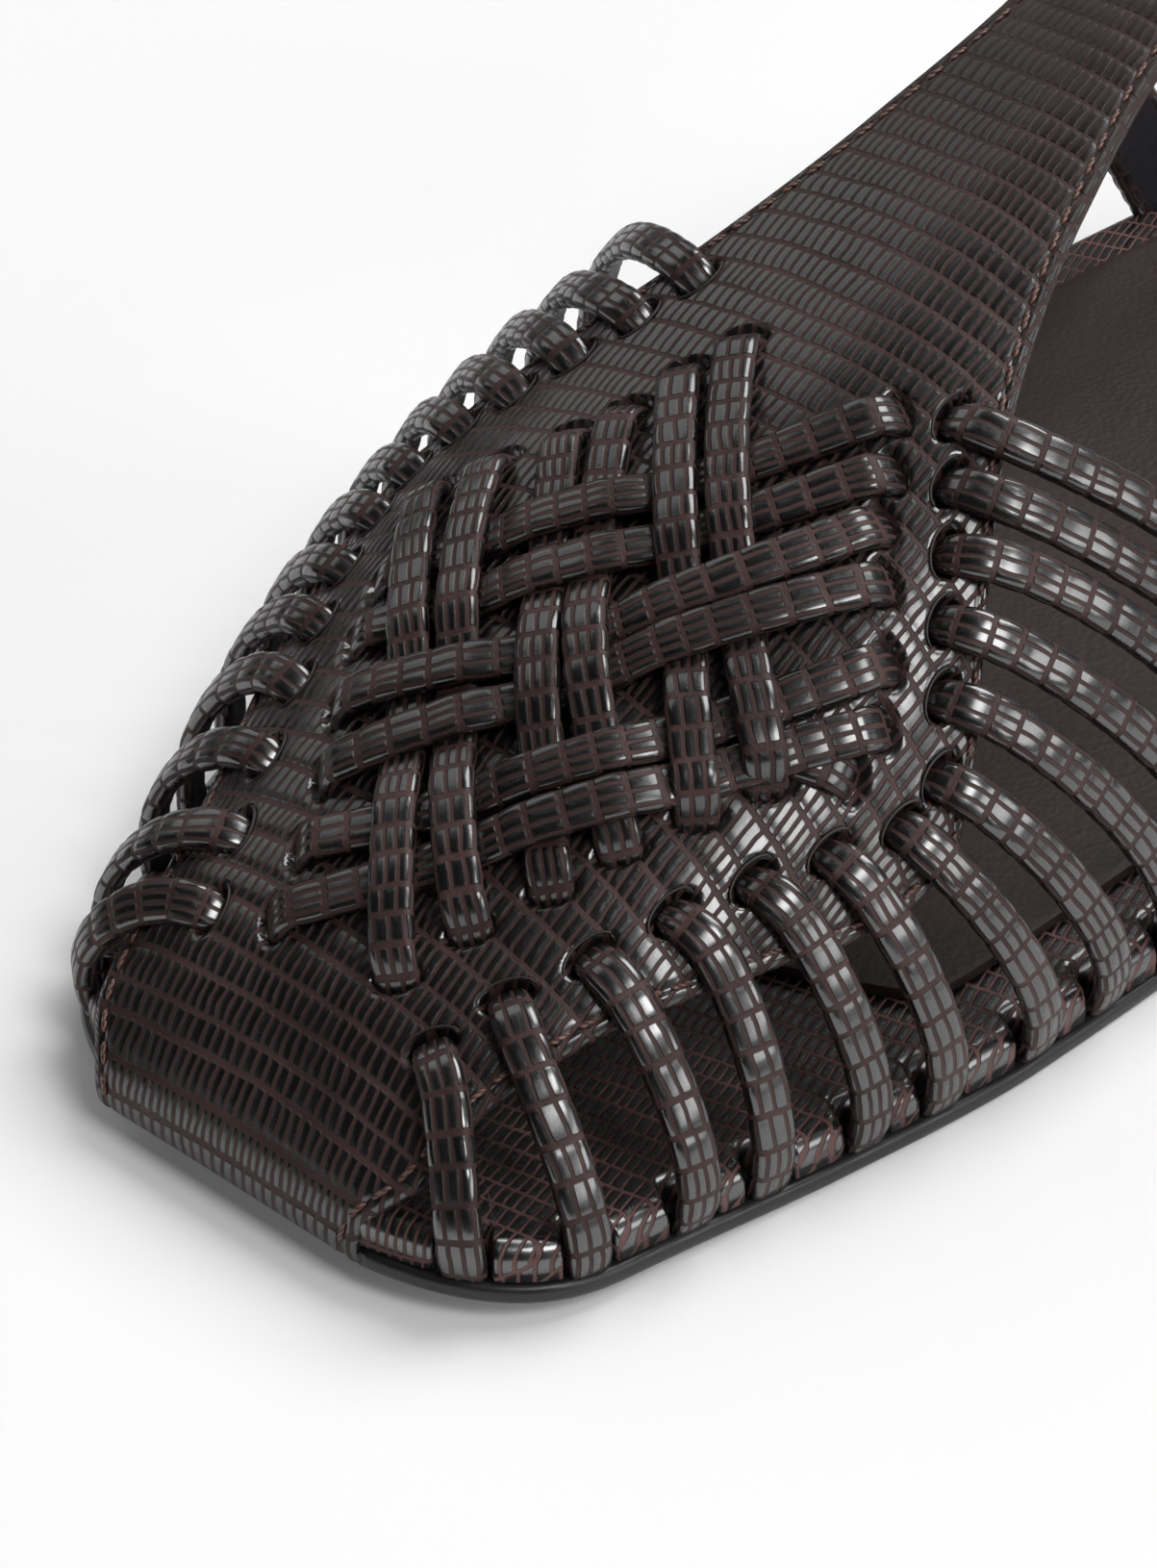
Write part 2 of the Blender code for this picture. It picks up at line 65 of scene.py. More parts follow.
STRAP_THICK = 1.9
PANEL_WALL = 1.8
UPPER_INSET = 0.3
INNER = 1
OUTER = -1
SIDE_NAMES = {INNER: "inner", OUTER: "outer"}
UP = np.array((0.0, 0.0, 1.0))
MERGE = 2e-6

# The sole's edge before its toe and heel are rounded off, as distances from the axis
Sole = namedtuple("Sole", "back inner outer")
SOLE = (
    Sole(0, 26.4, 26.4),
    Sole(16, 28.2, 31.4),
    Sole(36, 31.8, 40.8),
    Sole(57, 34.8, 47.2),
    Sole(80, 35.5, 50.0),
    Sole(105, 33.0, 48.5),
    Sole(135, 28.5, 43.0),
    Sole(165, 27.0, 37.5),
    Sole(195, 28.0, 33.5),
    Sole(225, 28.0, 30.5),
    Sole(250, 27.5, 29.5),
)
WIDEST_INNER = 35.5
Rounding = namedtuple("Rounding", "depth power")
TOE_ROUNDING = Rounding(16.0, 2.6)
HEEL_ROUNDING = Rounding(32.0, 2.1)
END_FLAT = 0.6
EDGE_SAMPLES = 2001

# Heights of the sole's underside and top along the axis; the heel's underside is flat from its front on
Profile = namedtuple("Profile", "back bottom top")
PROFILE = (
    Profile(0, 2.5, 4.3),
    Profile(20, 0.8, 2.6),
    Profile(45, 0.0, 1.8),
    Profile(95, 0.0, 1.8),
    Profile(130, 2.6, 4.6),
    Profile(165, 6.0, 8.2),
    Profile(185, 6.8, 9.0),
    Profile(250, 6.8, 9.2),
)
HEEL_FRONT = 178.0
HEEL_FRONT_SLOPE = 1.5

# The crest of the upper's outer face, and how far the crest lies from the sole's axis
Crest = namedtuple("Crest", "back up across")
CREST = (
    Crest(0, 11.5, 0.0),
    Crest(12, 18.5, -1.4),
    Crest(30, 28.5, -2.2),
    Crest(50, 39.0, -2.5),
    Crest(70, 49.0, -2.5),
    Crest(90, 59.0, -2.5),
    Crest(110, 68.5, -2.5),
    Crest(125, 75.0, -2.5),
)
SECTION_POWER = 2.4
TOE_WALL = Rounding(12.0, 2.2)

# Half the width of the vamp panel and T-bar on each side of the crest
Panel = namedtuple("Panel", "back inner outer")
PANEL = (
    Panel(0, 13.2, 15.3),
    Panel(4, 17.0, 18.2),
    Panel(11, 19.0, 19.6),
    Panel(19, 21.7, 21.8),
    Panel(32, 27.2, 27.2),
    Panel(46, 31.5, 31.5),
    Panel(50, 31.8, 31.8),
    Panel(54, 30.3, 30.3),
    Panel(62, 24.7, 24.7),
    Panel(71, 18.5, 18.5),
    Panel(79, 14.7, 14.7),
    Panel(88, 11.6, 11.6),
    Panel(104, 8.2, 8.2),
    Panel(120, 7.6, 7.6),
)
PANEL_END = 119.0
PANEL_TOE_ROWS = 5
PANEL_ROWS = 27

# The side loops, front to back: where the slit lies from the toe and from the crest, where the foot
# stands, how much the strap heads for its foot as it leaves the slit, how steeply it rises there, and
# how far it bows out. All but the feet come from a fit to the photo by a separate script, and were then
# rounded and changed by hand
Run = namedtuple("Run", "slit_back slit_out foot lead arch bulge")
LOOPS = {
    INNER: (
        Run(11.3, 12.5, 4.2, 1.1, 0.14, 2.8),
        Run(17.2, 15.1, 12.2, 1.8, 0.14, 2.2),
        Run(23.2, 18.2, 21.8, 1.7, 0.10, 4.6),
        Run(29.6, 20.9, 29.0, 1.5, 0.06, 3.4),
        Run(35.7, 23.7, 38.5, 0.0, 0.09, 4.2),
        Run(41.8, 26.3, 46.0, -0.1, 0.13, 4.6),
        Run(47.8, 28.5, 56.5, 0.0, 0.14, 4.7),
        Run(52.2, 28.4, 65.0, 0.1, 0.16, 4.8),
        Run(55.4, 25.6, 74.0, 0.2, 0.15, 3.5),
        Run(58.7, 22.7, 82.0, 0.22, 0.18, 3.3),
        Run(62.1, 19.9, 90.5, 0.3, 0.18, 3.3),
        Run(65.7, 16.9, 98.5, 0.16, 0.19, 3.1),
        Run(69.4, 13.9, 106.5, 0.1, 0.16, 2.9),
    ),
    OUTER: (
        Run(10.9, 11.5, 5.5, 0.75, 0.22, 3.0),
        Run(16.9, 14.5, 12.0, 1.3, 0.15, 1.2),
        Run(23.1, 17.5, 21.0, 1.5, 0.06, 2.3),
        Run(29.3, 20.5, 28.5, 0.9, 0.05, 2.4),
        Run(35.0, 23.7, 36.5, 0.0, 0.05, 2.4),
        Run(40.6, 26.4, 44.0, -0.1, 0.05, 2.6),
        Run(46.2, 28.1, 51.0, 0.1, 0.05, 2.4),
        Run(50.6, 28.4, 57.5, 0.3, 0.05, 2.2),
        Run(54.3, 26.2, 64.0, 0.38, 0.05, 1.9),
        Run(57.6, 23.0, 70.5, 0.4, 0.04, 1.3),
        Run(61.2, 19.7, 77.0, 0.5, 0.04, 0.9),
        Run(65.7, 16.5, 83.5, 0.3, 0.03, -0.5),
        Run(70.2, 13.9, 90.0, 0.45, 0.03, -0.6),
    ),
}
LOOP_PULL = {INNER: 0.33, OUTER: 0.38}
LOOP_FOOT_PULL = {INNER: 0.33, OUTER: 0.56}
LOOP_TURNED = {INNER: 0.9, OUTER: 0.5}
LOOP_LIP = 2.8
LOOP_SINK = 0.4
LOOP_ROOT_DEPTH = 1.9
LOOP_DIVE = 1.2
LOOP_DIVE_AHEAD = 0.3
LOOP_DIVE_END = 1.5
LOOP_DIVE_POINTS = 18
LOOP_POINTS = 70
LOOP_STEPS = 110
LOOP_TWIST_START = 0.05
LOOP_TWIST_END = 0.25
LOOP_SEED = 3

# The woven strips: each set has its front ends on one side of the crest and its rear ends on the other.
# Both sets come from a fit to the photo by a separate script. The short strip is given on its own
Strip = namedtuple("Strip", "front_out front_back rear_out rear_back bow")
STRIPS = {
    INNER: (
        Strip(7.6, 12.6, 23.1, 48.2, 0.1),
        Strip(10.4, 18.2, 18.7, 51.4, 1.8),
        Strip(13.7, 23.8, 13.9, 54.9, 1.1),
        Strip(16.2, 29.2, 10.5, 58.4, 2.7),
        Strip(19.0, 34.7, 8.7, 62.8, 0.6),
        Strip(21.5, 40.1, 6.0, 67.1, 1.8),
    ),
    OUTER: (
        Strip(6.3, 11.4, 24.5, 51.0, 2.8),
        Strip(8.4, 16.7, 22.1, 54.1, 3.7),
        Strip(11.0, 21.9, 18.6, 57.7, 2.1),
        Strip(14.8, 27.2, 15.6, 60.6, 3.9),
        Strip(18.3, 32.7, 13.8, 64.0, 2.8),
        Strip(20.8, 38.0, 11.0, 67.7, 3.0),
    ),
}
SHORT_STRIP = Strip(-19.5, 42.6, 25.4, 46.6, 0.0)
STRIP_POINTS = 241
STRIP_FINENESS = 2.6
STRIP_SEED = 71
SHORT_STRIP_SEED = 91
WEAVE_UNDER = 1.35
WEAVE_OVER = 2.7
WEAVE_END = 1.9
SHORT_STRIP_TOP = 1.0
WEAVE_TUCK = 3.0
WEAVE_SINK = 1.6
WEAVE_THICK = 1.5

# The ankle strap: over the top of the T-bar to the sole on both sides, and around the heel
ANKLE_WIDTH = 9.0
ANKLE_THICK = 2.0
ANKLE_FOOT_BACK = 168.0
ANKLE_TOP_BACK = 122.0
ANKLE_TOP_UP = 72.5
ANKLE_POWER = 0.8
ANKLE_LEAN_POWER = 4
SLING_LEVEL = 0.58
SLING_HEEL_BACK = 246.0
SLING_HEEL_UP = 60.0
SLING_POWER = 0.75
SLING_WIDTH = 8.4
SLING_THICK = 1.6
ANKLE_POINTS = 181
ANKLE_STEPS = 300
SLING_STEPS = 320
ANKLE_AROUND = 40
ANKLE_SEED = 61
SLING_SEED = 62
FOLD_WALL = 1.4
FOLD_HALF = 7.6
FOLD_FROM = 0.36
FOLD_TO = 0.64
FOLD_POINTS = 121
FOLD_AROUND = 64

# The insole and its sock
INSOLE_THICK = 3.2
INSOLE_INSET = UPPER_INSET + ANKLE_THICK + CLEARANCE
SOCK_THICK = 1.0
SOCK_INSET = INSOLE_INSET + 5.0
SOCK_FRONT = 43.0
SOCK_FRONT_CURVE = 9.0
SOCK_COLUMNS = 60
SOCK_STEP = 0.0075
SOCK_SOFTENED = 0.35
SOCK_SOFTEN_ANGLE = math.radians(50)
SOCK_SMOOTH_ANGLE = math.radians(45)


# Curves through the tables

def smooth(rows, column, back):
    """A curve through one column of a table that never swings past its rows."""
    backs = np.array([row.back for row in rows], float)
    values = np.array([getattr(row, column) for row in rows], float)
    steps = np.diff(values) / np.diff(backs)
    same_way = steps[:-1] * steps[1:] > 0
    total = np.where(same_way, steps[:-1] + steps[1:], 1.0)
    between = np.where(same_way, 2 * steps[:-1] * steps[1:] / total, 0.0)
    slopes = np.concatenate([steps[:1], between, steps[-1:]])
    i = np.clip(np.searchsorted(backs, back, side="right") - 1, 0, len(steps) - 1)
    span = backs[i + 1] - backs[i]
    t = (back - backs[i]) / span
    start = values[i] * (1 + 2 * t) * (1 - t) ** 2 + slopes[i] * span * t * (1 - t) ** 2
    end = values[i + 1] * t ** 2 * (3 - 2 * t) + slopes[i + 1] * span * t ** 2 * (t - 1)
    return start + end


def rounded(distance, rounding):
    """1 inside an outline, falling to 0 at its end along a superellipse."""
    left = np.maximum(0.0, 1 - distance / rounding.depth)
    return np.maximum(0.0, 1 - left ** rounding.power) ** (1 / rounding.power)


def bezier(a, b, c, d, count):
    """Points of a Bezier curve, its ends among them."""
    t = np.linspace(0.0, 1.0, count)[:, None]
    s = 1 - t
    return a * s ** 3 + b * 3 * s * s * t + c * 3 * s * t * t + d * t ** 3


def ease(low, high, value):
    """0 up to low and 1 from high on, with a soft start and end between them."""
    t = np.clip((value - low) / (high - low), 0.0, 1.0)
    return t * t * (3 - 2 * t)


def unit(vectors):
    return vectors / np.linalg.norm(vectors, axis=-1, keepdims=True)


def dot(a, b):
    return np.sum(a * b, axis=-1, keepdims=True)


def travelled(points):
    """The distance along a line of points at each of them."""
    steps = np.linalg.norm(np.diff(points, axis=0), axis=-1)
    return np.concatenate([[0.0], np.cumsum(steps)])


def sampled(points, distance, places):
    """The line's points at other distances along it."""
    return np.stack([np.interp(places, distance, points[:, i]) for i in range(3)], axis=-1)


# The form of the sole and the upper

def sole_edge(side, back):
    """The across of the sole's edge, with the toe and the heel rounded off."""
    inside = np.clip(back, END_FLAT, LENGTH - END_FLAT)
    wide = smooth(SOLE, SIDE_NAMES[side], inside)
    return side * wide * rounded(inside, TOE_ROUNDING) * rounded(LENGTH - inside, HEEL_ROUNDING)


def sole_top(back):
    return smooth(PROFILE, "top", back)


def sole_bottom(back):
    lift = smooth(PROFILE, "bottom", back)
    return lift * np.clip((HEEL_FRONT - back) / HEEL_FRONT_SLOPE, 0.0, 1.0)


def toe_line(across):
    """How far back the rounded toe's edge lies at a distance from the axis."""
    share = np.minimum(np.abs(across) / SOLE[0].inner, 1.0)
    return TOE_ROUNDING.depth * (1 - (1 - share ** TOE_ROUNDING.power) ** (1 / TOE_ROUNDING.power))


def edge_normal(side, back):
    """The unit vector out of the sole's edge, in plan."""
    step = 0.5
    run = sole_edge(side, back + step) - sole_edge(side, back - step)
    along = np.full_like(run, 2 * step)
    return unit(np.stack([side * along, -side * run, np.zeros_like(run)], axis=-1))


def inset_edge(side, back, inset):
    """A point of the sole's edge moved inwards, in plan."""
    point = np.stack([sole_edge(side, back), back, np.zeros_like(back)], axis=-1)
    return point - edge_normal(side, back) * inset


def inset_across(side, back, inset):
    """The across of the sole's edge moved inwards, at stations of the moved edge."""
    edge = inset_edge(side, np.linspace(0.0, LENGTH, EDGE_SAMPLES), inset)
    return np.interp(back, np.maximum.accumulate(edge[:, 1]), edge[:, 0])


def crest_across(back):
    return smooth(CREST, "across", back)


def form_up(across, back):
    """The height of the upper's outer face over a point of the plan."""
    base = sole_top(back)
    middle = crest_across(back)
    offset = across - middle
    inner_half = smooth(SOLE, "inner", back) - UPPER_INSET - middle
    outer_half = smooth(SOLE, "outer", back) - UPPER_INSET + middle
    share = np.minimum(np.where(offset >= 0, offset / inner_half, -offset / outer_half), 1.0)
    arch = np.sqrt(1 - share ** SECTION_POWER)
    wall = rounded(back - toe_line(across), TOE_WALL)
    return base + (smooth(CREST, "up", back) - base) * arch * wall


def form_point(across, back):
    return np.stack([across, back, form_up(across, back)], axis=-1)


def form_normal(across, back):
    """The unit vector out of the upper's outer face."""
    step = 0.4
    sideways = form_point(across + step, back) - form_point(across - step, back)
    along = form_point(across, back + step) - form_point(across, back - step)
    return unit(np.cross(sideways, along))


# Making meshes

sole_low, sole_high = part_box("outsole")
ORIGIN = np.array((sole_high.x * 1000 - WIDEST_INNER, sole_low.y * 1000, 0.0))


def world(points):
    """Points in shoe sizes as Blender's metres."""
    return (points + ORIGIN) / 1000


def add_sheet(name, points, chart):
    """A grid laid over a table of points, with its chart as its UV map."""
    rows, columns = points.shape[0] - 1, points.shape[1] - 1
    bpy.ops.object.select_all(action="DESELECT")
    bpy.ops.mesh.primitive_grid_add(x_subdivisions=columns, y_subdivisions=rows, size=1)
    sheet = bpy.context.object
    sheet.name = name
    mesh = sheet.data
    mesh.vertices.foreach_set("co", world(points).reshape(-1))
    corners = np.empty(len(mesh.loops), np.int32)
    mesh.loops.foreach_get("vertex_index", corners)
    layer = mesh.uv_layers.active
    layer.name = "chart"
    layer.data.foreach_set("uv", chart.reshape(-1, 2)[corners].reshape(-1))
    mesh.update()
    return sheet


def paint_columns(sheet, columns, second):
    """Gives a grid's faces in some of its columns the second material."""
    mesh = sheet.data
    column = np.arange(len(mesh.polygons)) % columns
    mesh.polygons.foreach_set("material_index", second[column].astype(np.int32))


def close_up(sleeve):
    """Merges a rolled sheet's seam, fills what stays open and turns its faces outwards."""
    bpy.ops.object.mode_set(mode="EDIT")
    bpy.ops.mesh.select_all(action="SELECT")
    bpy.ops.mesh.remove_doubles(threshold=MERGE)
    bpy.ops.mesh.fill_holes(sides=0)
    bpy.ops.mesh.select_all(action="SELECT")
    bpy.ops.mesh.normals_make_consistent(inside=False)
    bpy.ops.object.mode_set(mode="OBJECT")
    bpy.ops.object.shade_smooth()
    return sleeve


def join_pieces(name, pieces):
    """Several objects as one, with the materials of the first."""
    bpy.ops.object.select_all(action="DESELECT")
    for piece in pieces:
        piece.select_set(True)
    bpy.context.view_layer.objects.active = pieces[0]
    if len(pieces) > 1:
        bpy.ops.object.join()
    joined = bpy.context.object
    joined.name = name
    return joined


def row_lines(reach, pitch, end_pitch, vary, seed):
    """Where the leather's rows start over a length, each a little wider or narrower than the pitch."""
    chance = np.random.default_rng(seed)
    lines = [0.0]
    while lines[-1] < reach:
        here = pitch + (end_pitch - pitch) * lines[-1] / reach
        lines.append(lines[-1] + here * (1 + vary * (chance.random() - 0.5)))
    return np.array(lines)


def row_count(distance, lines):
    """The number of rows passed at a distance, as a fraction within a row."""
    return np.interp(distance, lines, np.arange(len(lines)))


def row_groove(count, pitch, width):
    """1 on a line between two rows, falling to 0 beside it."""
    place = count - np.floor(count)
    return np.exp(-(np.minimum(place, 1 - place) * pitch / width) ** 2)


# Materials

def add_node(tree, kind, inputs=None, **settings):
    """A node with its settings; an input takes a number, or the socket that it is linked to."""
    made = tree.nodes.new(kind)
    for key, value in settings.items():
        setattr(made, key, value)
    for key, value in (inputs or {}).items():
        if isinstance(value, bpy.types.NodeSocket):
            tree.links.new(value, made.inputs[key])
        else:
            made.inputs[key].default_value = value
    return made


def reckon(tree, operation, a, b=0.0, c=0.0):
    """The socket of a Math node."""
    return add_node(tree, "ShaderNodeMath", {0: a, 1: b, 2: c}, operation=operation).outputs[0]


def spread(tree, value, low, high, to_low, to_high, kind="SMOOTHSTEP"):
    """The socket of a Map Range node."""
    inputs = {"Value": value, "From Min": low, "From Max": high, "To Min": to_low, "To Max": to_high}
    made = add_node(tree, "ShaderNodeMapRange", inputs, interpolation_type=kind)
    return made.outputs["Result"]


def blended(tree, share, first, second):
    """The socket of a colour mix."""
    made = add_node(tree, "ShaderNodeMix", data_type="RGBA")
    for socket, value in ((made.inputs[0], share), (made.inputs[6], first), (made.inputs[7], second)):
        if isinstance(value, bpy.types.NodeSocket):
            tree.links.new(value, socket)
        else:
            socket.default_value = value
    return made.outputs[2]


def object_place(tree):
    """The socket of the place on the piece, in metres."""
    return add_node(tree, "ShaderNodeTexCoord").outputs["Object"]


def noise(tree, place, scale, detail=2.0, roughness=0.5):
    """A noise texture node over a place."""
    inputs = {"Vector": place, "Scale": scale, "Detail": detail, "Roughness": roughness}
    return add_node(tree, "ShaderNodeTexNoise", inputs)


def new_material(name):
    made = bpy.data.materials.new(name)
    made.use_nodes = True
    tree = made.node_tree
    return made, tree, tree.nodes["Principled BSDF"]


def add_bump(tree, shader, height, distance, strength=1.0):
    inputs = {"Height": height, "Distance": distance, "Strength": strength}
    bump = add_node(tree, "ShaderNodeBump", inputs)
    tree.links.new(bump.outputs["Normal"], shader.inputs["Normal"])


# Embossed leather: the rows' pitch, the bars' pitch and how it varies, the grooves between rows and
# between bars, the print's depth and its sway
Emboss = namedtuple("Emboss", "row bar bar_spread row_groove bar_groove depth wobble")
CELL_DARK = (0.0034, 0.0026, 0.0030, 1.0)
CELL_LIGHT = (0.0084, 0.0066, 0.0074, 1.0)
GROOVE_DARK = (0.040, 0.0205, 0.0185, 1.0)
GROOVE_LIGHT = (0.068, 0.0380, 0.0345, 1.0)
GROOVE_ROUGH = 0.5
CELL_ROUGH = 0.34
COAT_IOR = 3.5
COAT_SHARE = 0.28
COAT_EDGE = 3.0
COAT_ROUGH = 0.12
COAT_ROUGH_GRAIN = 0.12
COAT_ROUGH_CHANCE = 0.08
UNDERCOAT_SPECULAR = 0.25
EVEN_RAISE = 0.5
ROW_LEAN = 1.6
BAR_LEAN = 0.7
CRINKLE = 0.35
BAR_FOOT = -0.07
BAR_SHOULDER = 0.13
PAINT_FOOT = -0.05
PAINT_SHOULDER = 0.07
BAR_CORNER = 0.16
BAR_CROWN = 0.45
LOWEST_BAR = 0.85
TALLER_BAR = 0.25
GRAIN_HEIGHT = 0.10
ALONG_SWAY = 2
ROW_SWAY = 1.6
ROW_SHIFT = 37.0
SWAY_SCALE = 330.0
GRAIN_SCALE = 6400.0
CRINKLE_SCALE = 2200.0
CLOUD_SCALE = 90.0

# Where the print starts to fade, where it has faded, and the share of it that is left there. Where it
# fades, the colour evens out to a lighter brown: a painted sheen
Fade = namedtuple("Fade", "front rear left")
NO_FADE = Fade(0.0, 1.0, 1.0)


def toned(colour, painted_light_tone):
    """A colour made lighter or darker by a painted light tone."""
    return tuple(part * painted_light_tone for part in colour[:3]) + (1.0,)


def lizard_leather(name, emboss, fade=NO_FADE, painted_light_tone=1.0, gloss=1.0):
    """Embossed leather: rows of glossy raised bars with matt brown grooves, printed fainter past a fade,
    where the colour evens out to a lighter brown as a painted sheen.
    """
    made, tree, shader = new_material(name)
    chart = add_node(tree, "ShaderNodeUVMap", uv_map="chart").outputs["UV"]
    place = object_place(tree)
    parts = add_node(tree, "ShaderNodeSeparateXYZ", {0: chart})
    wander = noise(tree, place, SWAY_SCALE, 1.0).outputs["Color"]
    sway = add_node(tree, "ShaderNodeSeparateXYZ", {0: wander})
    row_sway = emboss.wobble / emboss.row * ROW_SWAY
    along = reckon(tree, "MULTIPLY_ADD", sway.outputs[0], emboss.wobble * ALONG_SWAY, parts.outputs[0])
    count = reckon(tree, "MULTIPLY_ADD", sway.outputs[1], row_sway, parts.outputs[1])
    row = reckon(tree, "FLOOR", count)
    luck = add_node(tree, "ShaderNodeTexWhiteNoise", {"W": row}, noise_dimensions="1D").outputs["Value"]
    narrow = emboss.bar * (1 - emboss.bar_spread / 2)
    pitch = reckon(tree, "MULTIPLY_ADD", luck, emboss.bar * emboss.bar_spread, narrow)
    bars = reckon(tree, "MULTIPLY_ADD", luck, ROW_SHIFT, reckon(tree, "DIVIDE", along, pitch))
    bar = reckon(tree, "FLOOR", bars)
    row_place = reckon(tree, "SUBTRACT", reckon(tree, "FRACT", count), 0.5)
    bar_place = reckon(tree, "SUBTRACT", reckon(tree, "FRACT", bars), 0.5)
    in_row = reckon(tree, "ABSOLUTE", row_place)
    in_bar = reckon(tree, "ABSOLUTE", bar_place)
    to_row_edge = reckon(tree, "MULTIPLY", reckon(tree, "SUBTRACT", 0.5, in_row), emboss.row)
    to_bar_edge = reckon(tree, "MULTIPLY", reckon(tree, "SUBTRACT", 0.5, in_bar), pitch)
    row_wall = reckon(tree, "SUBTRACT", to_row_edge, emboss.row_groove / 2)
    bar_wall = reckon(tree, "SUBTRACT", to_bar_edge, emboss.bar_groove / 2)
    inside = reckon(tree, "SMOOTH_MIN", row_wall, bar_wall, BAR_CORNER)
    cell_place = add_node(tree, "ShaderNodeCombineXYZ", {0: row, 1: bar}).outputs[0]
    chance = add_node(tree, "ShaderNodeTexWhiteNoise", {"Vector": cell_place}, noise_dimensions="2D")
    lean = add_node(tree, "ShaderNodeSeparateXYZ", {0: chance.outputs["Color"]})
    row_lean = reckon(tree, "MULTIPLY", reckon(tree, "SUBTRACT", lean.outputs[1], 0.5), row_place)
    bar_lean = reckon(tree, "MULTIPLY", reckon(tree, "SUBTRACT", lean.outputs[2], 0.5), bar_place)
    chance = chance.outputs["Value"]
    grain = noise(tree, place, GRAIN_SCALE, 2.0).outputs["Fac"]
    crinkle = noise(tree, place, CRINKLE_SCALE, 1.0).outputs["Fac"]
    cloud = noise(tree, place, CLOUD_SCALE, 2.0).outputs["Fac"]
    rise = spread(tree, inside, BAR_FOOT, BAR_SHOULDER, 0.0, 1.0)
    crown = spread(tree, inside, 0.0, 0.5, 0.0, BAR_CROWN, "LINEAR")
    tall = reckon(tree, "MULTIPLY_ADD", chance, TALLER_BAR, LOWEST_BAR)
    body = reckon(tree, "MULTIPLY", reckon(tree, "ADD", rise, crown), tall)
    body = reckon(tree, "MULTIPLY_ADD", row_lean, ROW_LEAN, body)
    body = reckon(tree, "MULTIPLY_ADD", bar_lean, BAR_LEAN, body)
    body = reckon(tree, "MULTIPLY_ADD", crinkle, CRINKLE, body)
    backs = add_node(tree, "ShaderNodeSeparateXYZ", {0: place}).outputs[1]
    front, rear = [(back + ORIGIN[1]) / 1000 for back in (fade.front, fade.rear)]
    printed = spread(tree, backs, front, rear, 1.0, fade.left)
    height = reckon(tree, "MULTIPLY_ADD", grain, GRAIN_HEIGHT, reckon(tree, "MULTIPLY", body, printed))
    add_bump(tree, shader, height, emboss.depth / 1000)
    # Past a fade the colour evens towards a mix of groove and cell, lighter than the cells: a painted sheen
    flat = spread(tree, inside, PAINT_FOOT, PAINT_SHOULDER, -EVEN_RAISE, 1 - EVEN_RAISE)
    raised = reckon(tree, "MULTIPLY_ADD", flat, printed, EVEN_RAISE)
    groove_tones = toned(GROOVE_DARK, painted_light_tone), toned(GROOVE_LIGHT, painted_light_tone)
    groove = blended(tree, spread(tree, cloud, 0.35, 0.65, 0.0, 1.0), *groove_tones)
    cell = blended(tree, chance, CELL_DARK, CELL_LIGHT)
    tree.links.new(blended(tree, raised, groove, cell), shader.inputs["Base Color"])
    rough = reckon(tree, "MULTIPLY_ADD", raised, CELL_ROUGH - GROOVE_ROUGH, GROOVE_ROUGH)
    tree.links.new(rough, shader.inputs["Roughness"])
    coat_rough = reckon(tree, "MULTIPLY_ADD", grain, COAT_ROUGH_GRAIN, COAT_ROUGH)
    coat_rough = reckon(tree, "MULTIPLY_ADD", chance, COAT_ROUGH_CHANCE, coat_rough)
    tree.links.new(coat_rough, shader.inputs["Coat Roughness"])
    coat = reckon(tree, "MULTIPLY", reckon(tree, "POWER", raised, COAT_EDGE), COAT_SHARE * gloss)
    tree.links.new(coat, shader.inputs["Coat Weight"])
    shader.inputs["Coat IOR"].default_value = COAT_IOR
    shader.inputs["Specular IOR Level"].default_value = UNDERCOAT_SPECULAR
    return made


PLAIN_CLOUD_SCALE = 45.0
PLAIN_ROUGH_SPREAD = 0.14
FINER = 2.5
FINE_SHARE = 0.5


def plain_leather(name, dark, light, rough, grain_scale, depth, shine=0.5):
    """Smooth leather: a fine grain, and colour that varies softly."""
    made, tree, shader = new_material(name)
    place = object_place(tree)
    cloud = noise(tree, place, PLAIN_CLOUD_SCALE, 4.0).outputs["Fac"]
    shade = blended(tree, spread(tree, cloud, 0.3, 0.7, 0.0, 1.0), dark, light)
    tree.links.new(shade, shader.inputs["Base Color"])
    pores = add_node(tree, "ShaderNodeTexVoronoi", {"Vector": place, "Scale": grain_scale})
    fine = noise(tree, place, grain_scale * FINER, 2.0).outputs["Fac"]
    height = reckon(tree, "MULTIPLY_ADD", fine, FINE_SHARE, pores.outputs["Distance"])
    add_bump(tree, shader, height, depth / 1000)
    smoothest = rough - PLAIN_ROUGH_SPREAD / 2
    uneven = reckon(tree, "MULTIPLY_ADD", cloud, PLAIN_ROUGH_SPREAD, smoothest)
    tree.links.new(uneven, shader.inputs["Roughness"])
    shader.inputs["Specular IOR Level"].default_value = shine
    return made


RUBBER_DARK = (0.0085, 0.0088, 0.0105, 1.0)
RUBBER_LIGHT = (0.0165, 0.0165, 0.0185, 1.0)
BUFFING_SQUASH = 14.0
BUFFING_SCALE = 260.0
BUFFING_DEPTH = 0.04


def buffed_rubber(name):
    """The outsole: dark rubber with faint marks of the buffing wheel along its edge."""
    made, tree, shader = new_material(name)
    place = object_place(tree)
    squash = {"Vector": place, "Scale": (1.0, 1.0, BUFFING_SQUASH)}
    squashed = add_node(tree, "ShaderNodeMapping", squash).outputs["Vector"]
    marks = noise(tree, squashed, BUFFING_SCALE, 4.0, 0.6).outputs["Fac"]
    shade = blended(tree, marks, RUBBER_DARK, RUBBER_LIGHT)
    tree.links.new(shade, shader.inputs["Base Color"])
    tree.links.new(spread(tree, marks, 0.3, 0.7, 0.30, 0.46), shader.inputs["Roughness"])
    add_bump(tree, shader, marks, BUFFING_DEPTH / 1000)
    return made


